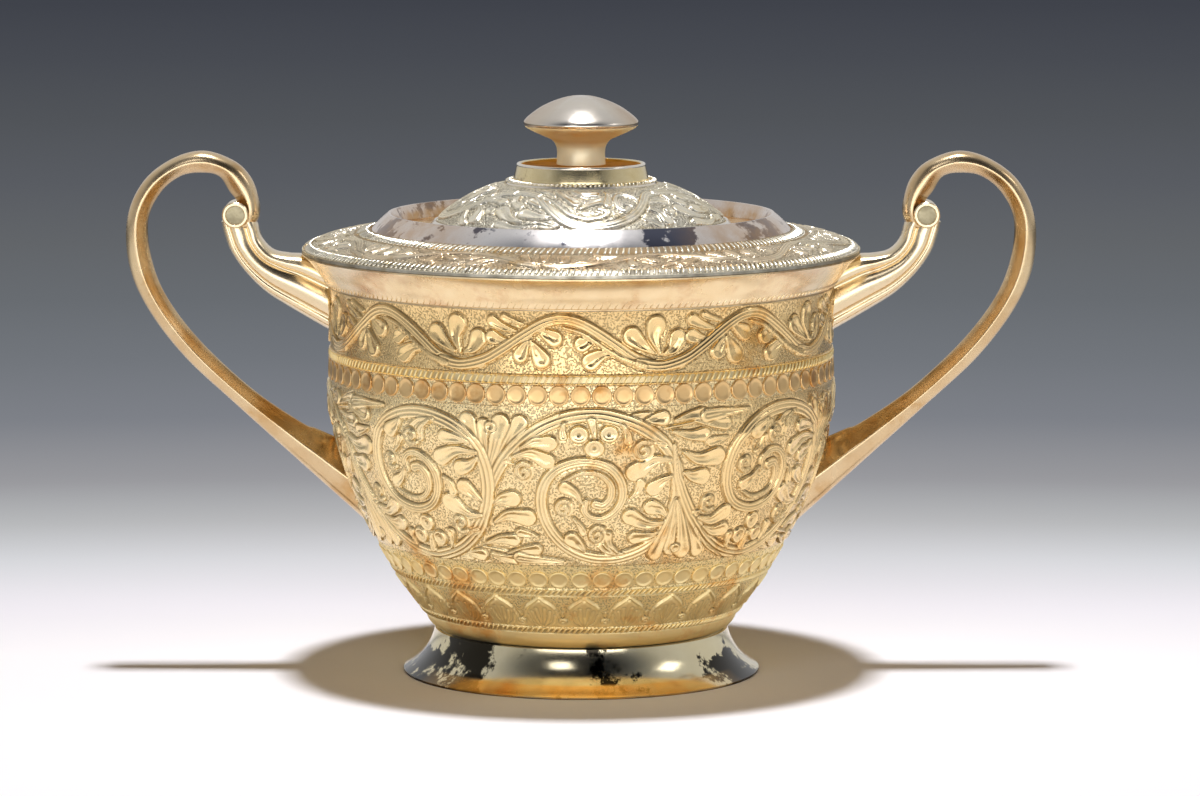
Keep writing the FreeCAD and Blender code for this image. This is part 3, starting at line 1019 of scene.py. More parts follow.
@dataclass
class BowlWall:
    """The raised bowl with its chased bands. Ground and back are how far they lie off the wall's outline."""

    shop: Workshop
    joint: Point = (28.9, 8.7)
    belly: Point = (50.45, 54.0)
    shoulder: tuple[Point, ...] = ((50.38, 52.6), (50.47, 55.2), (50.44, 57.0))
    waist: Point = (49.95, 72.4)
    rim: Point = (55.19, 83.45)
    rim_height: float = 83.75
    rim_lip: float = 0.8
    side_bulge: float = 3.5
    flare_hollow: float = 1.4
    flare_blend: float = 3.6
    sheet: float = 0.9
    ground: float = -0.5
    back: float = -0.7
    floor_radius: float = 23.6
    floor_height: float = 6.54
    base_corner: Point = (27.2, 7.2)
    line_height: float = 77.0
    frieze_low: float = 65.1
    girdle_low: float = 59.0
    scroll_middle: float = 43.0
    main_low: float = 26.8
    lower_girdle_low: float = 20.2
    leaf_low: float = 13.5
    trunk_angle: float = -22.3
    frieze_angle: float = -4.6
    tip_angle: float = 1.1
    upper_beads: int = 77
    lower_beads: int = 60
    bead_sides: int = 20
    leaf_tips: int = 26

    def __post_init__(self) -> None:
        """Keep the outline, which the bands, the beads and the handles follow."""
        self.wall = self.outline()

    def outline(self) -> Profile:
        """Draw the outside of the wall, from the foot joint to the rim, with a soft shoulder.

        Returns:
            The outline.
        """
        side = bow(self.joint, self.belly, self.side_bulge, 90)[:-6]
        upper = bow(self.shoulder[-1], self.waist, 0.02, 24)
        flare = bow(self.waist, self.rim, -self.flare_hollow, 40)[1:]
        return Profile([*side, *self.shoulder[:-1], *upper, *flare])

    def scroll_strokes(self) -> list[Stroke]:
        """Draw a quarter of the main band: an arch and its spiral from the trunk, and the same upside down.

        Returns:
            The strokes.
        """
        leaf, floret, stem, line = Motif.LEAF, Motif.FLORET, Motif.STEM, Motif.LINE
        vine = (
            0.3, 0.6, -1.5, -8.6, -0.8, -5.6, 0.0, -2.3, 0.8, -0.9, 2.3, 1.8, 5.6, 6.1, 11.1, 10.8, 17.3,
            13.7, 24.8, 14.9, 31.1, 13.9, 36.5, 11.9, 41.1, 8.7, 43.8, 5.0, 45.2, 1.5, 45.6, -1.6, 45.0,
            -5.1, 42.8, -9.0, 38.2, -12.2, 31.5, -13.9, 24.8, -13.7, 19.0, -11.7, 15.0, -8.2, 13.2, -4.0,
            13.6, 0.1, 16.1, 3.4, 20.3, 5.1, 24.8, 5.4, 29.0, 4.2, 31.5, 1.8, 32.2, -1.3, 30.7, -4.0, 27.8,
            -5.6, 24.8, -5.4, 23.2, -4.0, 23.6, -2.2,
        )
        spiral = (0.35, 0.95, 18.2, 1.5, 22.3, 3.2, 26.5, 3.0, 29.2, 1.1, 29.4, -1.3, 27.8, -3.0, 25.9, -2.8)
        half = chased(line, 0.35, (0.4, 0.25, -3.5, -12.0, 1.9, -12.7, 8.1, -13.7, 16.0, -15.0))
        half += chased(
            leaf, FULL,
            (0.4, 1.45, -2.0, -11.2, 1.9, -10.3, 5.4, -10.3),
            (0.4, 1.35, 3.5, -13.2, 6.9, -12.6, 10.9, -12.2),
            (0.4, 1.15, -1.3, -13.4, 1.9, -14.2, 4.8, -14.5),
            (1.25, 0.3, 6.1, -14.0, 9.6, -14.3, 13.4, -14.4, 17.6, -14.6),
            (0.35, 1.7, 0.2, 2.2, -0.8, 7.3, -3.1, 13.2),
            (0.35, 1.6, 1.5, 2.9, 5.6, 8.0, 9.0, 13.1),
            (0.3, 1.2, 0.4, 2.5, 0.8, 8.4, 0.6, 12.6),
            (0.35, 1.8, 0.8, 2.5, 3.1, 8.4, 4.6, 13.0),
        )
        half += chased(floret, FULL, (1.0, 1.0, 2.3, 12.3))
        half += chased(
            leaf, FULL,
            (0.5, 1.35, 31.5, 13.9, 34.9, 14.2, 37.0, 14.0),
            (0.5, 1.5, 36.3, 13.2, 38.6, 13.8, 40.5, 13.9),
        )
        half += chased(stem, 0.56, vine, peak=1.3) + chased(stem, 0.5, spiral)
        half += chased(line, 0.4, (0.2, 0.3, 7.0, 8.4, 11.6, 12.4, 17.3, 14.9))
        half += chased(
            leaf, FULL,
            (0.35, 1.6, 9.4, 8.2, 12.3, 9.3, 15.4, 9.2),
            (0.35, 1.6, 7.3, 6.3, 11.1, 7.0, 14.8, 5.6),
            (0.4, 1.75, 1.7, -2.8, 3.7, -2.1, 6.2, -1.9),
            (0.35, 1.9, 1.0, -6.8, 4.8, -5.3, 9.4, -5.6),
            (0.4, 1.95, 42.6, 5.6, 38.6, 5.4, 34.9, 3.3),
            (0.4, 1.6, 43.2, 2.3, 41.4, 1.4, 39.4, 0.1),
            (0.4, 1.75, 43.4, -6.8, 38.6, -7.0, 34.4, -5.4),
            (0.4, 1.6, 43.4, -5.6, 41.6, -4.2, 39.3, -3.6),
            (0.4, 1.45, 41.6, -8.9, 38.8, -9.5, 36.0, -9.7),
            (0.4, 1.6, 23.2, -12.1, 21.9, -11.0, 20.2, -9.9),
            (0.3, 1.3, 22.6, -2.5, 21.1, -0.7, 18.9, 0.4),
        )
        half += chased(leaf, 0.45, (0.8, 0.3, 24.8, 13.6, 25.2, 11.9, 25.5, 10.6))
        half += chased(
            leaf, FULL,
            (0.3, 1.1, 33.0, -13.0, 29.0, -12.2, 26.3, -10.0),
            (0.3, 0.8, 31.8, -12.6, 29.6, -10.9, 29.2, -9.0),
        )
        half += chased(
            line, 0.4, (0.4, 0.3, 5.4, 5.1, 7.3, 4.8, 8.4, 4.2), (0.45, 0.35, 41.1, 8.6, 39.0, 8.9, 37.6, 8.4)
        )
        half += chased(
            floret, FULL, (1.75, 1.75, 22.0, 11.0), (1.7, 1.7, 28.6, 11.1), (1.85, 1.85, 25.4, 8.2)
        )
        half += chased(
            leaf, FULL,
            (0.3, 0.9, 34.0, -1.6, 35.6, -0.4, 36.2, 1.2),
            (0.3, 1.0, 11.6, -9.4, 9.6, -9.0, 7.4, -8.7),
            (0.3, 0.8, 18.8, 13.2, 18.4, 11.8, 18.6, 10.6),
            (0.3, 0.9, 31.6, 12.8, 32.6, 11.2, 32.8, 9.6),
            (0.3, 0.8, 20.6, -5.6, 22.0, -7.0, 23.0, -8.4),
        )
        for spot, size in (((9.4, 3.3), 2.0), ((36.4, 7.5), 2.2), ((26.4, -9.2), 2.05), ((18.3, -3.7), 1.9)):
            half += self.curl(spot, size)
        return [stroke.stretched(5.0, 1.085) for stroke in half + [stroke.flipped(45.0) for stroke in half]]

    def curl(self, centre: Point, size: float) -> list[Stroke]:
        """Return a small rolled-up leaf: a low round cushion with a ridge that winds in to its middle.

        Args:
            centre: Its middle.
            size: Its radius.

        Returns:
            The cushion and the ridge.
        """
        turns = np.linspace(0.9, 0.9 + 1.25 * math.tau, 12)
        reach = np.linspace(0.9 * size, 0.12 * size, 12)
        across = reach * np.cos(turns) / (math.radians(1) * self.belly[0])
        ridge = np.column_stack([centre[0] + across, centre[1] + reach * np.sin(turns)])
        cushion = chased(Motif.FIELD, 0.12, (size, size, *centre))
        return cushion + chased(Motif.STEM, 0.6, (0.5, 0.46, *ridge.ravel()))

    def frieze_strokes(self) -> list[Stroke]:
        """Draw one wave of the frieze from a crest: its petals, its running stem and a thinner one.

        Returns:
            The strokes.
        """
        wave = (
            1.0, 1.0, -27.4, -4.0, -22.5, -4.5, -16.9, -3.3, -12.5, -1.1, -8.0, 1.5, -3.6, 3.7, 0.0, 4.5,
            3.6, 4.1, 8.0, 2.2, 12.5, -0.4, 16.9, -3.0, 22.5, -4.5, 27.4, -4.0,
        )
        petals = chased(
            Motif.LEAF, FULL,
            (0.35, 1.6, -4.7, 2.7, -3.1, 1.8, -1.1, 0.9),
            (0.35, 1.5, -6.0, 1.1, -7.6, -0.6, -8.6, -2.3),
            (0.35, 1.75, -6.2, 0.4, -5.1, -1.3, -3.9, -3.1),
            (0.35, 1.55, 10.0, 0.6, 7.6, 1.0, 5.0, -0.1),
            (0.35, 1.75, 12.7, -1.8, 9.4, -2.1, 6.9, -3.4),
            (0.35, 1.9, 22.3, -2.1, 21.0, 1.0, 21.5, 3.2),
            (0.35, 1.85, 20.9, -2.0, 18.3, -0.4, 16.1, 1.2),
            (0.35, 1.85, 23.4, -2.2, 25.4, -1.2, 26.6, 0.6),
            (0.35, 1.4, -10.9, 0.3, -13.0, 0.4, -15.0, 1.0),
            (0.35, 1.15, -9.6, 2.2, -12.4, 2.9, -14.9, 4.0),
            (0.35, 0.7, -8.0, 3.6, -10.6, 4.2, -12.2, 4.8),
        )
        thin = (0.35, 0.5, 0.9, 3.0, 5.3, 1.8, 9.8, -0.8, 14.3, -3.2, 18.7, -4.4)
        return petals + chased(Motif.STEM, 0.55, wave) + chased(Motif.STEM, 0.5, thin)

    def leaf_tip_strokes(self) -> list[Stroke]:
        """Draw one pointed leaf of the low border from its base: its field, a pearl beside it and its veins.

        Returns:
            The strokes.
        """
        line, cushion = Motif.LINE, Motif.FIELD
        strokes = chased(
            cushion, 0.26, (3.7, 2.3, 0.0, 0.6, 0.0, 3.4, 0.0, 4.6), (2.2, 0.8, 0.0, 4.4, 0.0, 6.3)
        )
        strokes += chased(cushion, 0.24, (1.2, 1.2, -6.92, 0.8, 6.92, 0.8))
        strokes += chased(line, 0.36, (0.16, 0.24, 6.92, 4.0, 6.92, 2.4))
        strokes += chased(Motif.FLORET, 0.5, (0.72, 0.72, 6.92, 1.7))
        for s in (-1, 1):
            strokes += chased(
                line, 0.34,
                (0.2, 0.26, s * 0.4, 0.3, s * 0.9, 2.6, s * 1.3, 5.0),
                (0.2, 0.26, s * 0.7, 0.2, s * 2.2, 2.2, s * 2.9, 4.2),
                (0.2, 0.26, s * 1.6, 0.1, s * 3.8, 1.3, s * 4.6, 3.2),
            )
            arm = (0.3, 0.3, 0.0, 7.95, s * 0.8, 7.3, s * 2.1, 6.6, s * 3.7, 5.7, s * 4.95, 4.5)
            drop = (0.24, 0.2, s * 4.95, 4.5, s * 5.3, 3.4, s * 5.9, 2.5)
            strokes += chased(line, 0.5, arm) + chased(line, 0.38, drop)
        return strokes

    def build(self) -> None:
        """Build the wall's lining, rim, chased bands, borders and beads."""
        wall, finishes = self.wall, self.shop.finishes
        at = wall.run_at_height
        self.build_lining()
        self.build_flare()
        frieze = ReliefBand(wall, at(self.frieze_low), at(self.line_height), 8, 208, 73)
        frieze.draw(self.frieze_strokes(), at((self.frieze_low + self.line_height) / 2), 0.4)
        for piece in self.stretches(frieze, "bowl_frieze", self.frieze_angle, -400, "front", "back"):
            paint(piece, "tarnish", 0.4)
            place(piece, Body.BOWL, Slot.CHASED, finishes.chased)
        main_band = ReliefBand(wall, at(self.main_low), at(self.girdle_low), 4, 456, 201)
        main_band.draw(self.scroll_strokes(), at(self.scroll_middle), 0.4)
        quarters = ("front", "right", "back", "left")
        for piece in self.stretches(main_band, "bowl_scroll_band", self.trunk_angle, -112, *quarters):
            paint(piece, "tarnish", lambda spots: 0.35 * patch_at(bearing(spots), 55, 32))
            nodes = ["bowl_body"] if piece.name.endswith("front") else []
            place(piece, Body.BOWL, Slot.CHASED, finishes.chased, *nodes)
        tips = ReliefBand(wall, at(self.leaf_low), at(self.lower_girdle_low), self.leaf_tips, 40, 49)
        tips.draw(self.leaf_tip_strokes(), at(self.leaf_low), 0.3)
        piece = tips.build("bowl_leaf_border", self.tip_angle, 0, tips.total, self.ground, self.back)
        place(piece, Body.BOWL, Slot.CHASED, finishes.frosted)
        self.build_girdles()

    def stretches(
        self, band: ReliefBand, name: str, start: float, seam: int, *labels: str
    ) -> Iterator[Piece]:
        """Build a band of the wall in equal stretches.

        Args:
            band: The band.
            name: The start of the pieces' names.
            start: Degrees from the front where the motif's repeat starts.
            seam: First column of the first stretch.
            labels: The end of each piece's name.

        Yields:
            The pieces.
        """
        count = band.total // len(labels)
        for i, label in enumerate(labels):
            yield band.build(f"{name}_{label}", start, seam + i * count, count, self.ground, self.back)

    def build_lining(self) -> None:
        """Turn the plain inside of the bowl with its floor and base."""
        wall, base = self.wall, self.floor_height - self.sheet
        high = wall.run_at_height(self.rim[1])
        outline = [(0.0, self.floor_height), (self.floor_radius, self.floor_height)]
        outline += [*wall.strip(0.0, high, 80, -self.sheet), *wall.strip(high, 0.0, 60, self.back - 0.03)]
        outline += [self.base_corner, (self.floor_radius, base), (0.0, base)]
        self.shop.turned("bowl_lining", outline, 180, self.shop.finishes.satin, Body.BOWL, Slot.PLAIN)

    def build_flare(self) -> None:
        """Turn the flared rim, with a dark groove just over the frieze."""
        wall, groove, depth = self.wall, 0.3, 0.1
        low, top = wall.run_at_height(self.line_height), wall.run_at_height(self.rim[1])
        runs = np.linspace(low, top, 80)
        rise = ease(np.clip((runs - low) / self.flare_blend, 0, 1))
        outline = [*wall.at(runs, self.ground * (1 - rise) - depth * bell(runs - low, groove, 0.13))]
        outline += [(self.rim[0], self.rim_height), (self.rim[0] - self.rim_lip, self.rim_height)]
        outline += [*wall.strip(top, low, 12, self.back)[1:]]
        finish = self.shop.finishes.rim
        piece = self.shop.turned("bowl_rim_flare", outline, 240, finish, Body.BOWL, Slot.POLISHED)
        height = float(wall.at(low + groove)[1])
        paint(piece, "ink", lambda spots: 0.8 * bell(spots[:, 2], height, 0.14))

    def build_girdles(self) -> None:
        """Turn the bands between the chased ones, each with two raised lines, and set the beads and ticks."""
        wall, finishes, ground = self.wall, self.shop.finishes, self.ground
        at = wall.run_at_height
        for name, low, high, first, last, count, finish in (
            ("bowl_upper_girdle", self.girdle_low, self.frieze_low, 63.2, 64.95, 80, finishes.chased),
            ("bowl_lower_girdle", self.lower_girdle_low, self.main_low, 20.35, 21.75, 80, finishes.frosted),
            ("bowl_base_roll", self.joint[1], self.leaf_low, 12.0, 13.35, 60, finishes.frosted),
        ):
            runs = np.linspace(at(low), at(high), count)
            lift = np.full(count, ground)
            if name == "bowl_base_roll":
                share = np.clip((runs - runs[0]) / (at(first - 0.2) - runs[0]), 0, 1)
                lift = ground + 0.55 * np.sin(math.pi * share)
            for height in (first, last):
                lift = lift + 0.26 * bell(runs, at(height), 0.16)
            outline = [*wall.at(runs, lift), *wall.strip(at(high), at(low), 12, self.back)]
            piece = self.shop.turned(name, outline, 280, finish, Body.BOWL, Slot.CHASED)
            middle, half = (first + last) / 2, (last - first) / 2
            paint(
                piece,
                "ground",
                lambda spots: (np.abs(spots[:, 2] - middle) > half) & (spots[:, 2] > self.leaf_low),
            )
            paint(piece, "ink", lambda spots: 0.5 * (np.abs(spots[:, 2] - middle) < half - 0.2))
        for name, height, count, size, finish in (
            ("bowl_upper_beads", 61.1, self.upper_beads, 1.96, finishes.bead),
            ("bowl_lower_beads", 23.85, self.lower_beads, 1.92, finishes.frosted),
        ):
            self.shop.row(self.bead(name, at(height), size), count, 0.06, 3, finish, Body.BOWL)
        for name, low, high, count, slant, lift, half, finish in (
            ("bowl_upper_ticks", 63.35, 64.8, 248, 0.7, ground, 0.25, finishes.frosted),
            ("bowl_lower_ticks", 20.5, 21.6, 210, 1.1, ground, 0.25, finishes.frosted),
            ("bowl_base_ticks", 12.15, 13.2, 190, 0.9, ground, 0.25, finishes.frosted),
            ("bowl_rim_ticks", 77.5, 78.7, 230, 0.8, -0.62, 0.14, finishes.rim),
        ):
            tick = tick_mark(name, wall, at(low), at(high), lift, slant, half)
            self.shop.row(tick, count, 0.25, 5, finish, Body.BOWL)

    def bead(self, name: str, run: float, size: float) -> Piece:
        """Make one flat bead with a thin raised edge at the front of the bowl.

        Args:
            name: The piece's name.
            run: Running length at the bead's centre.
            size: The bead's radius.

        Returns:
            The bead.
        """
        radius = float(self.wall.at(run)[0])
        rings = []
        for share, lift in (
            (1.0, -0.68), (1.0, -0.36), (0.96, -0.24), (0.89, -0.18), (0.8, -0.3), (0.5, -0.34), (0.0, -0.32)
        ):
            turn = math.tau * np.arange(self.bead_sides if share else 1) / self.bead_sides
            flat = self.wall.at(run + np.sin(turn) * share * size, lift)
            rings.append(around(flat, np.cos(turn) * share * size / radius))
        return join_rings(name, rings)


@dataclass
class Foot:
    """The spun foot: a hollow flare that ends in a low flange."""

    shop: Workshop
    radius: float = 35.45
    edge: float = 0.45
    neck: Point = (29.2, 8.7)
    hollow: float = 1.2
    flange: float = 2.5

    def build(self) -> None:
        """Turn the foot and paint its painted reflections and the painted shade at its base."""
        wide, (neck, top) = self.radius, self.neck
        flare = bow((wide, self.edge), self.neck, -self.hollow, 40)
        under = bow((wide - 1.08, 0.0), (neck - 1.0, top - 0.6), -self.hollow, 30)
        outline = [(wide - 0.1, 0.0), (wide, 0.12), *flare, (neck - 0.9, top + 0.1), *under[::-1]]
        finish = self.shop.finishes.foot
        piece = self.shop.turned("foot_flare", outline, 240, finish, Body.BOWL, Slot.POLISHED, "foot_ring")

        def warm(spots: np.ndarray) -> np.ndarray:
            """Return the flange's painted gold reflection of the bowl: round the front and the back's two
            sides.
            """
            low = np.clip((self.flange - spots[:, 2]) / 0.4, 0, 1)
            return low * patch_at(np.abs(bearing(spots)) % 150, 0, 46)

        def dark(spots: np.ndarray) -> np.ndarray:
            """Find the foot's painted dark reflections: left of the front, at its middle, behind, low at both
            sides.

            Args:
                spots: Positions of its points.

            Returns:
                The share of painted dark reflection at each point.
            """
            turn, low = bearing(spots), np.clip((6.0 - spots[:, 2]) / 2, 0, 1)
            places = ((0.95, -48, 15), (0.9, 150, 25), (0.62, 9, 7), (low, 66, 16), (1.3 * low, -72, 20))
            return np.maximum.reduce([share * patch_at(turn, *spot) for share, *spot in places])

        # Painted reflection: the bowl's gold shown in the flange
        paint(piece, "tarnish", warm)
        # Painted shade: the lowest edge of the foot is darkened
        paint(piece, "ink", lambda spots: (spots[:, 2] < 0.2) * 0.9)
        # Painted reflections of dark surroundings, drawn as black patches
        paint(piece, "bias", dark)


# The handles


@dataclass
class Handle:
    """One cast handle: a tapered strap that rolls into a scroll, and the leg under it.

    A place of the strap or leg is a row: X and Z of one edge, X and Z of the other, and the depth there. A
    section is rows of the place across, from -1 to 1, and the share of the depth, along the front face.
    """

    shop: Workshop
    side: Side
    wall: Profile
    strap_depth: float = 6.6
    shoe_depth: float = 9.6
    eye: Point = (68.2, 91.1)
    roll: float = 2.6
    roll_half: float = 3.8
    eye_radius: float = 1.85
    bite: float = 0.62
    per_span: int = 9
    drum_sides: int = 48

    def strap_places(self) -> tuple[tuple[float, ...], ...]:
        """List the strap's places from the belly to the scroll, the outer edge first.

        Returns:
            The places.
        """
        deep, wide = self.strap_depth, self.shoe_depth
        return (
            (39.8, 27.0, 46.6, 45.7, wide), (46.2, 32.8, 49.8, 47.0, wide - 1.0),
            (52.7, 38.7, 52.9, 48.4, wide - 2.1), (58.2, 43.7, 55.6, 49.52, deep),
            (68.5, 53.12, 65.29, 56.18, deep), (78.69, 62.73, 75.41, 65.68, deep),
            (85.91, 72.35, 82.0, 74.42, deep), (89.51, 81.0, 85.0, 82.08, deep),
            (89.79, 90.2, 85.6, 89.81, deep), (86.61, 97.4, 83.02, 95.4, deep),
            (80.99, 101.9, 79.0, 98.6, deep), (74.71, 103.6, 74.71, 99.23, deep),
            (68.6, 101.6, 71.5, 98.47, deep), (65.3, 98.4, 69.6, 95.6, deep),
            (63.75, 94.2, 67.6, 93.0, deep), (63.6, 90.7, 67.2, 91.0, deep),
            (65.2, 88.3, 67.4, 90.0, deep - 0.4), (67.9, 88.0, 68.0, 90.2, deep - 0.8),
        )

    def build(self) -> None:
        """Build and dress the strap, the leg, and the roll with its eye."""
        label, finishes = self.side.name.lower(), self.shop.finishes
        leg_places = (
            (65.2, 91.6, 71.2, 89.6, 6.0), (63.95, 89.2, 70.7, 87.4, 6.6), (63.0, 86.2, 69.4, 83.8, 7.3),
            (60.9, 84.0, 66.5, 79.6, 8.1), (57.8, 83.3, 62.4, 75.6, 8.8), (54.6, 83.0, 56.6, 71.9, 9.1),
            (49.6, 81.0, 49.2, 67.6, 9.4),
        )
        band = (
            (-1.0, 0.0), (-0.97, 0.3), (-0.88, 0.56), (-0.72, 0.76), (-0.52, 0.88), (-0.3, 0.95),
            (-0.12, 0.99), (0.0, 1.0), (0.08, 0.99), (0.14, 0.93), (0.26, 0.84), (0.44, 0.7), (0.64, 0.53),
            (0.82, 0.34), (0.95, 0.15), (1.0, 0.0),
        )
        leg = (
            (-1.0, 0.0), (-0.985, 0.4), (-0.94, 0.68), (-0.84, 0.88), (-0.7, 0.97), (-0.56, 1.0),
            (-0.46, 0.95), (-0.38, 0.8), (-0.33, 0.72), (-0.26, 0.8), (-0.1, 0.92), (0.1, 0.97),
            (0.3, 0.96), (0.44, 0.88), (0.52, 0.76), (0.57, 0.66), (0.63, 0.72), (0.74, 0.74), (0.86, 0.58),
            (0.95, 0.3), (1.0, 0.0),
        )
        for part, places, section, warmth, node in (
            ("strap", self.strap_places(), band, 0.85, "loop"),
            ("leg", leg_places, leg, 0.1, "bracket"),
        ):
            piece = self.loft(f"handle_{label}_{part}", places, section, warmth)
            place(piece, Body.BOWL, Slot.CAST, finishes.cast, f"handle_{label}_{node}")
        half, rim, eye = self.roll_half, self.roll, self.eye_radius
        end = [(eye, half - 0.5), (eye, half - 0.12), (eye + 0.1, half)]
        end += [(rim - 0.25, half), (rim, half - 0.25)]
        roll = [(0.0, 0.5 - half), *((r, -y) for r, y in end), *end[::-1], (0.0, half - 0.5)]
        size = eye - 0.03
        face = [(size, half - 0.36), (size * 0.8, half - 0.28), (0.0, half - 0.3)]
        disc = [*((r, -y) for r, y in face[::-1]), *face]
        for part, outline, finish in (("roll", roll, finishes.cast), ("eye", disc, finishes.eye)):
            place(self.drum(f"handle_{label}_{part}", outline), Body.BOWL, Slot.CAST, finish)

    def loft(self, name: str, places: Sequence, section: Sequence[Point], warmth: float) -> Piece:
        """Run a section through places, and stop it inside the wall where it meets the bowl.

        Args:
            name: The piece's name.
            places: The places.
            section: The section.
            warmth: How warm the tarnish is; the inner face gets more, as a painted reflection of the strap.

        Returns:
            The closed piece, on the handle's own side.
        """
        front = np.array(section)
        across, deep = np.vstack([front * (1, -1), front[-2:0:-1]]).T
        share = (across + 1) / 2
        rings = []
        for x0, z0, x1, z1, depth in smooth_path(places, self.per_span):
            out, y, up = x0 + (x1 - x0) * share, deep * depth / 2, z0 + (z1 - z0) * share
            reach = np.interp(up, self.wall.points[:, 1], self.wall.points[:, 0]) - self.bite
            out = np.maximum(out, np.sqrt(reach**2 - y**2))
            rings.append(np.column_stack([self.side.value * out, y, up]))
        piece = join_rings(name, rings, smooth_ends=False)
        # A warm tarnish all over, stronger on the inner face, where it is a painted reflection of the strap
        # itself
        paint(piece, "tarnish", warmth * np.tile(0.7 + 0.3 * (across > 0.1), len(rings)))
        return piece

    def drum(self, name: str, outline: Sequence[Point]) -> Piece:
        """Turn an outline round the scroll's own axis.

        Args:
            name: The piece's name.
            outline: Its radius and depth, from axis to axis.

        Returns:
            The piece.
        """
        rings = []
        for radius, depth in outline:
            turn = math.tau * np.arange(self.drum_sides if radius else 1) / self.drum_sides
            x, z = self.eye[0] + radius * np.cos(turn), self.eye[1] + radius * np.sin(turn)
            rings.append(np.column_stack([self.side.value * x, np.full(len(turn), depth), z]))
        piece = join_rings(name, rings)
        piece.data.set_sharp_from_angle(angle=math.radians(40))
        return piece


# The lid


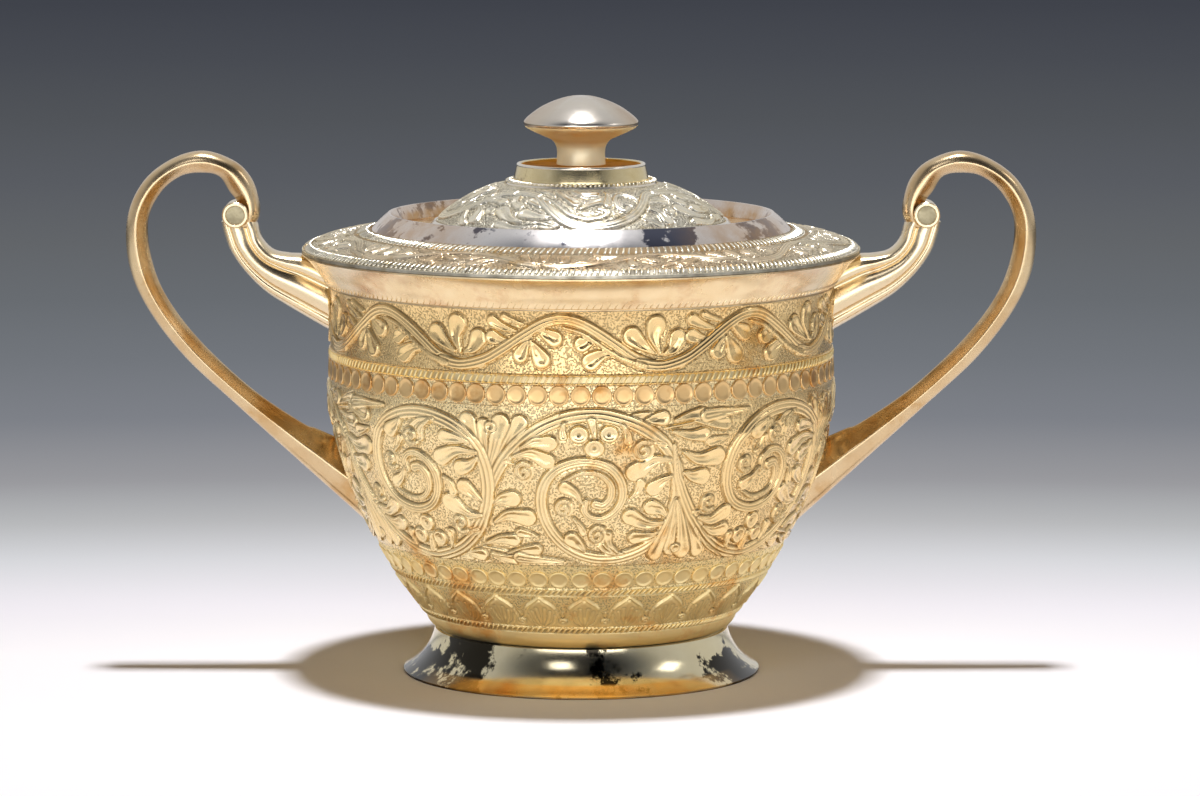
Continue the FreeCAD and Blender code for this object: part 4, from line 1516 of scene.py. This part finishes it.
@dataclass
class Lid:
    """The lid: plate, step ring, dome and bezel. Bands of the plate are given by outer and inner radius."""

    shop: Workshop
    seat: float = 83.75
    edge: Point = (55.19, 84.5)
    shoulder: Point = (50.0, 86.85)
    inner: Point = (27.5, 88.75)
    sheet: float = 0.9
    ground: float = -0.3
    leaf_sheet: float = 0.22
    slack: float = 0.25
    hatching: Point = (55.0, 53.35)
    foliage: Point = (53.2, 45.0)
    fillet: tuple[Point, ...] = ((45.1, 87.3), (44.3, 87.45), (41.7, 88.4))
    fillet_back: tuple[Point, ...] = ((41.7, 87.9), (44.6, 87.2))
    ring_foot: Point = (41.6, 88.12)
    ring_top: Point = (38.2, 91.47)
    ring_inner: Point = (36.4, 88.58)
    dome_foot: Point = (30.2, 88.77)
    dome_top: Point = (13.4, 97.93)
    dome_bulge: float = 1.65
    bore: float = 1.8
    bezel: tuple[Point, ...] = ((49.6, 77.75), (49.6, 86.1), (48.8, 86.1), (48.8, 77.75))
    relief: float = 0.62

    def plate_strokes(self) -> list[Stroke]:
        """Draw one wave of the plate's foliage, from a crest.

        Returns:
            The strokes.
        """
        wave = (
            0.8, 0.8, -27.0, -2.7, -22.5, -3.2, -16.0, -2.3, -9.0, 0.9, -4.0, 2.7, 0.0, 3.1, 4.0, 2.7, 9.0,
            0.9, 16.0, -2.3, 22.5, -3.2, 27.0, -2.7,
        )
        strokes = chased(
            Motif.LEAF, FULL,
            (0.35, 1.1, -6.2, 1.6, -4.5, 0.2, -2.2, -0.9),
            (0.35, 1.0, -6.8, 1.0, -7.4, -0.9, -7.2, -2.6),
            (0.35, 1.0, 5.6, 2.0, 3.6, 0.8, 1.8, -0.6),
            (0.35, 1.2, 9.9, 0.0, 6.4, -1.0, 3.4, -2.9),
            (0.35, 1.0, 15.5, -1.8, 14.6, 0.4, 13.4, 2.4),
            (0.35, 1.1, 18.6, -2.4, 18.6, 0.0, 18.2, 2.4),
            (0.35, 1.1, 22.0, -2.6, 23.2, -0.6, 23.0, 1.8),
            (0.35, 0.9, 25.0, -2.2, 28.2, -1.0, 29.4, 0.6),
            (0.3, 0.7, -9.0, 1.8, -12.5, 2.4, -15.0, 3.4),
        )
        strokes += chased(Motif.LINE, 0.4, (0.25, 0.35, -11.0, 0.6, -13.5, 1.0, -16.0, 2.0))
        strokes += chased(Motif.STEM, 0.5, wave)
        strokes += chased(Motif.STEM, 0.46, (0.3, 0.5, 1.0, 2.0, 6.0, 0.7, 11.5, -1.8, 17.5, -3.3))
        return strokes + chased(Motif.LINE, 0.36, (0.25, 0.25, -1.0, -3.4, 2.5, -2.0, 6.0, -3.4))

    def dome_strokes(self) -> list[Stroke]:
        """Draw one wave of the dome's foliage, from a trough.

        Returns:
            The strokes.
        """
        wave = (
            0.95, 0.95, -41.0, 4.4, -32.0, 4.3, -23.6, 2.9, -14.5, -1.7, -7.0, -5.0, 0.0, -6.2, 10.0, -6.0,
            17.0, -4.9, 23.5, -3.2, 30.0, -0.6, 36.0, 2.2, 41.0, 3.8, 49.0, 4.4, 58.0, 4.3,
        )
        hook = (
            0.4, 0.65, 31.0, 1.2, 30.0, 2.8, 25.7, 4.4, 20.0, 3.8, 17.6, 1.8, 17.6, -0.6, 20.5, -1.7, 23.0,
            -0.8,
        )
        shoot = (
            0.35, 0.6, -24.0, 3.4, -16.8, 1.8, -10.0, -1.0, -5.5, -2.9, 2.3, -4.1, 9.6, -3.2, 11.2, -1.8,
            8.3, -1.0,
        )
        strokes = chased(
            Motif.LEAF, FULL,
            (0.4, 1.2, -15.5, 5.4, -9.0, 3.2, -3.5, 1.0),
            (0.4, 1.3, -1.0, -1.0, 5.0, 1.0, 12.7, 2.2),
            (0.4, 1.1, -6.0, 6.0, 1.0, 4.4, 8.0, 4.6),
            (0.4, 1.2, -17.0, -0.8, -22.0, 0.4, -27.0, 1.6),
            (0.4, 1.4, -13.0, -3.4, -20.0, -3.6, -27.0, -2.8),
            (0.35, 0.9, -10.0, -5.8, -14.0, -6.4, -18.0, -6.0),
            (0.4, 1.1, -38.0, 3.2, -37.0, 0.8, -32.0, -0.6),
            (0.4, 1.1, 35.0, 0.4, 41.0, 1.0, 46.0, 0.6),
            (0.4, 1.1, 32.0, -1.4, 37.0, -3.0, 38.0, -5.4),
            (0.35, 0.8, 27.0, -3.4, 30.0, -5.4, 33.0, -6.6),
            (0.4, 1.5, -27.0, -5.2, -33.0, -4.6, -39.0, -2.4),
            (0.35, 1.0, -20.0, -6.4, -28.0, -7.0, -36.0, -6.2),
            (0.35, 1.0, 14.0, 5.6, 15.0, 3.6, 13.0, 0.4),
        )
        strokes += chased(Motif.FLORET, 0.5, (1.15, 1.15, 43.5, -2.6))
        for height, stem in ((0.46, hook), (0.52, wave), (0.46, shoot)):
            strokes += chased(Motif.STEM, height, stem)
        return strokes + chased(Motif.LINE, 0.4, (0.25, 0.25, -30.0, 5.6, -22.0, 5.4, -16.0, 3.8))

    def build(self) -> None:
        """Build the plate with its foliage and borders, the ring, the dome and the bezel."""
        self.build_plate()
        self.build_fillet()
        self.build_ring()
        self.build_dome()
        satin = self.shop.finishes.satin
        self.shop.turned("lid_bezel_collar", self.bezel, 180, satin, Body.LID, Slot.PLAIN, "lid_bezel")

    def build_plate(self) -> None:
        """Build the plate's sheet, sunk under foliage and hatching, then the foliage and the edge's ticks."""
        outer, middle = bow(self.edge, self.shoulder, 0.3, 16), bow(self.shoulder, self.inner, 0.6, 60)
        top, finish, (rim, rise) = Profile([*outer, *middle[1:]]), self.shop.finishes.chased_lid, self.edge
        at = top.run_at_radius
        low, high = map(at, self.foliage)
        runs = np.linspace(0, top.run[-1], 90)
        margin, under_fillet = 0.3, 2.4
        leafy = (runs > low - margin) & (runs < high + under_fillet)
        sunk = np.where(leafy, self.ground - self.slack, 0.0)
        sunk = np.where((runs > at(self.hatching[0])) & (runs <= low - margin), -self.slack, sunk)
        outline = [(rim - 0.15, self.seat), (rim, self.seat + 0.15), (rim, rise - 0.12), *top.at(runs, sunk)]
        outline += [(self.inner[0], self.inner[1] - self.sheet)]
        outline += [*top.strip(top.run[-1], 0.6, 40, -self.sheet)[1:], (rim - 1.0, self.seat)]
        sheet = self.shop.turned("lid_plate_sheet", outline, 200, finish, Body.LID, Slot.CHASED, "lid_plate")

        def soot(spots: np.ndarray) -> np.ndarray:
            """Find where old polish lies between the ticks of the border, and the painted shade on the
            upright edge.

            Args:
                spots: Positions of the sheet's points.

            Returns:
                The darkness at each point: old polish in the border, painted shade on the edge.
            """
            out, above = off_axis(spots), spots[:, 2] - rise + 0.1
            hatched = (out > self.foliage[0]) & (out < self.hatching[0]) & (above > 0)
            # Painted shade: the upright edge below the plate's top is darkened
            return np.maximum(0.9 * hatched, 0.72 * ((out > rim - 0.3) & (above < 0)))

        paint(sheet, "tarnish", lambda spots: (self.ring_foot[0] - off_axis(spots)) / 2)
        paint(sheet, "ink", soot)
        leaves = ReliefBand(top, low, high, 8, 184, 57, 0.26)
        leaves.draw(self.plate_strokes(), (low + high) / 2, 0.3, self.relief)
        back = self.ground - self.leaf_sheet
        piece = leaves.build("lid_plate_foliage", 18.5, 0, leaves.total, self.ground, back)
        paint(piece, "tarnish", lambda spots: 0.5 * patch_at(bearing(spots), 0, 50) + 0.15)
        place(piece, Body.LID, Slot.CHASED, finish)
        tick = tick_mark("lid_edge_ticks", top, *map(at, self.hatching), -0.2, 0.5, 0.3)
        self.shop.row(tick, 290, 0.2, 7, finish, Body.LID)

    def build_fillet(self) -> None:
        """Turn the dark fillet between foliage and ring, and set its ticks."""
        finish, fillet = self.shop.finishes.chased_lid, Profile(self.fillet)
        outline = [*fillet.strip(0.0, fillet.run[-1], 12), *self.fillet_back]
        piece = self.shop.turned("lid_hatch_fillet", outline, 360, finish, Body.LID, Slot.CHASED)
        paint(piece, "tarnish", 0.9)
        paint(piece, "ink", 0.75)
        tick = tick_mark("lid_inner_ticks", fillet, 0.75, fillet.run[-1] - 0.35, -0.06, 0.7, 0.3)
        self.shop.row(tick, 230, 0.2, 7, finish, Body.LID)

    def build_ring(self) -> None:
        """Turn the plain folded ring on the plate."""
        foot, (crest, top), inner = self.ring_foot, self.ring_top, self.ring_inner
        outline = [(foot[0], foot[1] - 0.1), *bow(foot, (crest + 0.25, top - 0.25), 0.12, 10)]
        outline += [(crest, top - 0.04), (crest - 0.3, top), (crest - 0.55, top - 0.1)]
        outline += [*bow((crest - 0.7, top - 0.35), inner, 0.1, 6), (inner[0], inner[1] - 0.1)]
        finish = self.shop.finishes.ring
        piece = self.shop.turned("lid_step", outline, 240, finish, Body.LID, Slot.POLISHED, "lid_step_ring")

        def film(spots: np.ndarray) -> np.ndarray:
            """Return where the ring is tan: its inner wall, and its outside away from the front."""
            away = np.clip((np.abs(bearing(spots)) - 26) / 16, 0, 1)
            return np.maximum(crest - 0.4 - off_axis(spots), 0.65 * away)

        def blue(spots: np.ndarray) -> np.ndarray:
            """Return where the ring has gone blue-black, as patches round it."""
            places = ((1.0, 26, 7), (0.8, -70, 6), (0.55, 62, 18), (0.6, -130, 12))
            return np.maximum.reduce([share * patch_at(bearing(spots), *spot) for share, *spot in places])

        paint(piece, "tarnish", film)
        paint(piece, "bias", blue)

    def build_dome(self) -> None:
        """Build the dome's sheet, sunk under its foliage, then the foliage and the ticks above it."""
        dome = Profile(bow(self.dome_foot, self.dome_top, self.dome_bulge, 80))
        finishes, (foot, base) = self.shop.finishes, self.dome_foot
        crown, end = self.dome_top[1], dome.run[-1]
        low, high, margin = 2.0, end - 1.9, 0.2
        runs = np.linspace(0, end, 80)
        leafy = (runs > low - margin) & (runs < high + margin)
        sunk = np.where(leafy, self.ground - self.slack, 0.0)
        outline = [(foot, base - 0.1), *dome.at(runs, sunk), (self.bore, crown)]
        outline += [(self.bore, crown - self.sheet), *dome.strip(end - 0.6, 0.0, 40, -self.sheet)]
        self.shop.turned("lid_dome_sheet", outline, 200, finishes.polished, Body.LID, Slot.CHASED, "lid_dome")
        leaves = ReliefBand(dome, low, high, 4, 248, 81, 0.27)
        leaves.draw(self.dome_strokes(), (low + high) / 2, 0.3, self.relief)
        back = self.ground - self.leaf_sheet
        piece = leaves.build("lid_dome_foliage", 1.0, 0, leaves.total, self.ground, back)
        place(piece, Body.LID, Slot.CHASED, finishes.chased_lid)
        tick = tick_mark("lid_dome_ticks", dome, high + 0.35, high + 1.5, 0.05, 0.4, 0.26)
        self.shop.row(tick, 96, 0.25, 9, finishes.chased_lid, Body.LID)


@dataclass
class Finial:
    """The plinth with its dish, and the knob."""

    shop: Workshop
    plinth_foot: Point = (13.4, 97.93)
    plinth_top: float = 101.28
    plinth_rim: float = 12.7
    rim_bead: float = 0.42
    bore: float = 1.8
    knob_seat: float = 100.93
    knob_tip: float = 114.57

    def build(self) -> None:
        """Turn the plinth, its rim and dish, and the knob's stem and cap."""
        (foot, low), top, wide = self.plinth_foot, self.plinth_top, self.plinth_rim
        seat, bore, bead = self.knob_seat, self.bore, self.rim_bead
        collar = [(foot - 0.9, low), (foot, low), (foot - 0.05, low + 0.6), (wide + 0.05, top - 0.6)]
        collar += [(wide, top - 0.3), (wide - 0.12, top - 0.08), (wide - 0.4, top), (wide - 0.75, top - 0.1)]
        collar += [(wide - 0.95, top - 0.4), (wide - 1.2, top - 1.4)]
        turn = np.linspace(0, math.tau, 13)[:-1]
        rim = np.column_stack([wide - 0.35 + bead * np.cos(turn), top - bead + bead * np.sin(turn)])
        dish = [(bore, seat), (8.0, seat), (wide - 0.9, seat + 0.1)]
        dish += [(wide - 1.1, seat - 0.8), (bore, seat - 0.8)]
        under = (
            (4.85, seat), (4.75, 102.5), (4.75, 103.6), (5.0, 104.7), (5.75, 105.75), (7.4, 106.55),
            (9.2, 107.35), (10.7, 108.15), (11.2, 108.65),
        )
        over = (
            (11.2, 108.65), (11.35, 109.15), (11.15, 109.7), (10.2, 110.65), (8.2, 112.1), (6.6, 112.95),
            (5.1, 113.58), (3.4, 114.12), (1.8, 114.45), (0.0, self.knob_tip),
        )
        stem = [(0.0, seat), *smooth_path(under, 6), (0.0, under[-1][1])]
        cap = [(0.0, over[0][1]), *smooth_path(over, 6)]
        finishes = self.shop.finishes
        for name, outline, segments, finish, *nodes in (
            ("collar", collar, 120, finishes.gilt, "finial_plinth"),
            ("collar_rim", rim, 120, finishes.polished),
            ("dish", dish, 96, finishes.brown),
            ("knob_stem", stem, 120, finishes.stem),
            ("knob_cap", cap, 120, finishes.cap, "finial_knob"),
        ):
            dressing = (finish, Body.LID, Slot.POLISHED, *nodes)
            piece = self.shop.turned(f"finial_{name}", outline, segments, *dressing)
        # The last piece turned is the cap
        lip = over[1][1]

        def film(spots: np.ndarray) -> np.ndarray:
            """Return where the cap is tan: under its lip, and away from the front."""
            away = np.clip((np.abs(bearing(spots)) - 35) / 40, 0, 1)
            return np.maximum(0.9 * (spots[:, 2] < lip), 0.75 * away)

        paint(piece, "tarnish", film)


# Stage


@dataclass
class Stage:
    """Floor, light and camera, in metres. The floor is white paper with a painted pool of light that fades to
    blue-grey far behind.
    """

    floor_size: float = 16.0
    pool: Point = (0.0, -0.8)
    fade_reach: float = 3.5
    shadow_reach: float = 0.14
    dim_towards: tuple[float, float, float] = (0.0, -0.72, 0.69)
    camera_at: tuple[float, float, float] = (0.00374, -1.0341, 0.1868)
    camera_tilt: float = 0.1274
    lens: float = 157.4

    def build(self) -> None:
        """Build the floor, the world, the lamps and the camera."""
        self.build_floor()
        self.build_world()
        scene = bpy.context.scene
        for name, size, energy, at, turn in (
            ("lamp_overhead", (0.1, 0.1), 15.6, (0.0, -0.02, 1.3), (0.0, 0.0, 0.0)),
            ("lamp_front_left", (0.36, 0.36), 1.1, (-0.36, -1.15, 1.05), (0.883, 0.0, -0.303)),
            ("lamp_front_low", (1.8, 0.4), 6.8, (0.0, -1.35, 0.2), (1.46, 0.0, 0.0)),
            ("lamp_front_right", (0.34, 0.34), 1.0, (1.2, -0.2, 1.0), (0.92, 0.0, 1.405)),
        ):
            lamp = bpy.data.lights.new(name, "AREA")
            lamp.shape = "RECTANGLE"
            lamp.size, lamp.size_y = size
            lamp.energy = energy
            lamp.color = linear("#FAFAFF")[:3]
            holder = bpy.data.objects.new(name, lamp)
            holder.location = at
            holder.rotation_euler = turn
            scene.collection.objects.link(holder)
        view = bpy.data.cameras.new("photo_view")
        view.lens = self.lens
        view.sensor_width = 36.0
        view.clip_end = 50.0
        camera = bpy.data.objects.new("photo_view", view)
        camera.location = self.camera_at
        camera.rotation_euler = (math.pi / 2 - self.camera_tilt, 0.0, 0.0)
        scene.collection.objects.link(camera)
        scene.camera = camera
        scene.view_settings.view_transform = "Standard"

    def seen(self, tree: bpy.types.NodeTree) -> bpy.types.NodeSocket:
        """Tell rays that show a thing, straight or in the metal, from rays that only light it.

        Args:
            tree: The tree that asks.

        Returns:
            A socket, 1 for rays that show it.
        """
        ray = add_node(tree, "ShaderNodeLightPath")
        direct = {0: ray["Is Camera Ray"], 1: ray["Is Glossy Ray"]}
        direct = add_node(tree, "ShaderNodeMath", direct, operation="MAXIMUM")
        shown = {0: direct[0], 1: ray["Is Transmission Ray"]}
        return add_node(tree, "ShaderNodeMath", shown, operation="MAXIMUM")[0]

    def build_floor(self) -> None:
        """Lay the paper floor: lit paper near the bowl, and far from it a glow in the painted pool's fading
        grey.
        """
        half = self.floor_size / 2 / MM
        corners = np.array([(-half, -half, 0.0), (half, -half, 0.0), (half, half, 0.0), (-half, half, 0.0)])
        floor = make_piece("paper_floor", corners, [([range(4)], False)])
        material = bpy.data.materials.new("matt white paper")
        material.use_nodes = True
        tree = material.node_tree
        tree.nodes.clear()
        add = partial(add_node, tree)
        spot = add("ShaderNodeTexCoord")["Object"]
        away = add("ShaderNodeVectorMath", {0: spot, 1: (*self.pool, 0.0)}, operation="DISTANCE")["Value"]
        share = add("ShaderNodeMath", {0: away, 1: self.fade_reach}, operation="DIVIDE")[0]
        # Painted light: the floor's colour falls from white to blue-grey with distance from a point in front
        # of the bowl
        painted_pool_greys = (
            (0.82, "#FAFAFC"), (0.88, "#EDEDF3"), (0.94, "#D7DBDF"), (1.0, "#B8BABC"), (1.07, "#99999D"),
            (1.185, "#7E8188"), (1.32, "#72767C"), (1.49, "#686C71"), (1.68, "#626569"), (1.94, "#595C62"),
            (2.28, "#515459"), (2.75, "#484B52"), (3.35, "#40434B"),
        )
        stops = [(distance / self.fade_reach, code) for distance, code in painted_pool_greys]
        grey = add("ShaderNodeValToRGB", {0: share}, stops)[0]
        paper = add("ShaderNodeBsdfDiffuse", {"Color": grey})[0]
        glow = add("ShaderNodeEmission", {"Color": grey, "Strength": 1.0})[0]
        near = add("ShaderNodeVectorMath", {0: spot}, operation="LENGTH")["Value"]
        edges = {0: near, 1: self.shadow_reach, 2: 2 * self.shadow_reach, 3: 0.0, 4: 1.0}
        far = add("ShaderNodeMapRange", edges, interpolation_type="SMOOTHSTEP")[0]
        even = add("ShaderNodeMath", {0: far, 1: self.seen(tree)}, operation="MULTIPLY")[0]
        shown = add("ShaderNodeMixShader", {0: even, 1: paper, 2: glow})[0]
        add("ShaderNodeOutputMaterial", {"Surface": shown})
        floor.data.materials.append(material)

    def build_world(self) -> None:
        """Set the room: pale walls as metal shows them, a dim front above the camera, a weak warm fill."""
        world = bpy.data.worlds.new("studio")
        bpy.context.scene.world = world
        world.use_nodes = True
        tree = world.node_tree
        tree.nodes.clear()
        add = partial(add_node, tree)
        ray = add("ShaderNodeTexCoord")["Generated"]
        aim = {0: ray, 1: self.dim_towards}
        nearness = add("ShaderNodeVectorMath", aim, operation="DOT_PRODUCT")["Value"]
        stops = ((0.0, "#D2D3D6"), (0.55, "#B9BBC0"), (0.78, "#666A72"), (0.92, "#22262E"), (1.0, "#16191F"))
        grey = add("ShaderNodeValToRGB", {0: nearness}, stops)[0]
        room = add("ShaderNodeBackground", {"Color": grey, "Strength": 1.0})[0]
        fill = add("ShaderNodeBackground", {"Color": linear("#58421E"), "Strength": 1.0})[0]
        both = add("ShaderNodeMixShader", {0: self.seen(tree), 1: fill, 2: room})[0]
        add("ShaderNodeOutputWorld", {"Surface": both})


def main() -> None:
    """Load the frame and build every sub-assembly; placing logs each piece's faces."""
    logging.basicConfig(level=logging.INFO, format="%(message)s")
    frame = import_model()
    shop = Workshop()
    bowl = BowlWall(shop)
    bowl.build()
    Foot(shop).build()
    for side in Side:
        Handle(shop, side, bowl.wall).build()
    Lid(shop).build()
    Finial(shop).build()
    for name in ("finial_stud", "finial_washer", "finial_nut"):
        node = frame["nodes"][name]
        node.data.materials.clear()
        node.data.materials.append(shop.finishes.satin)
    Stage().build()


if __name__ == "__main__":
    main()
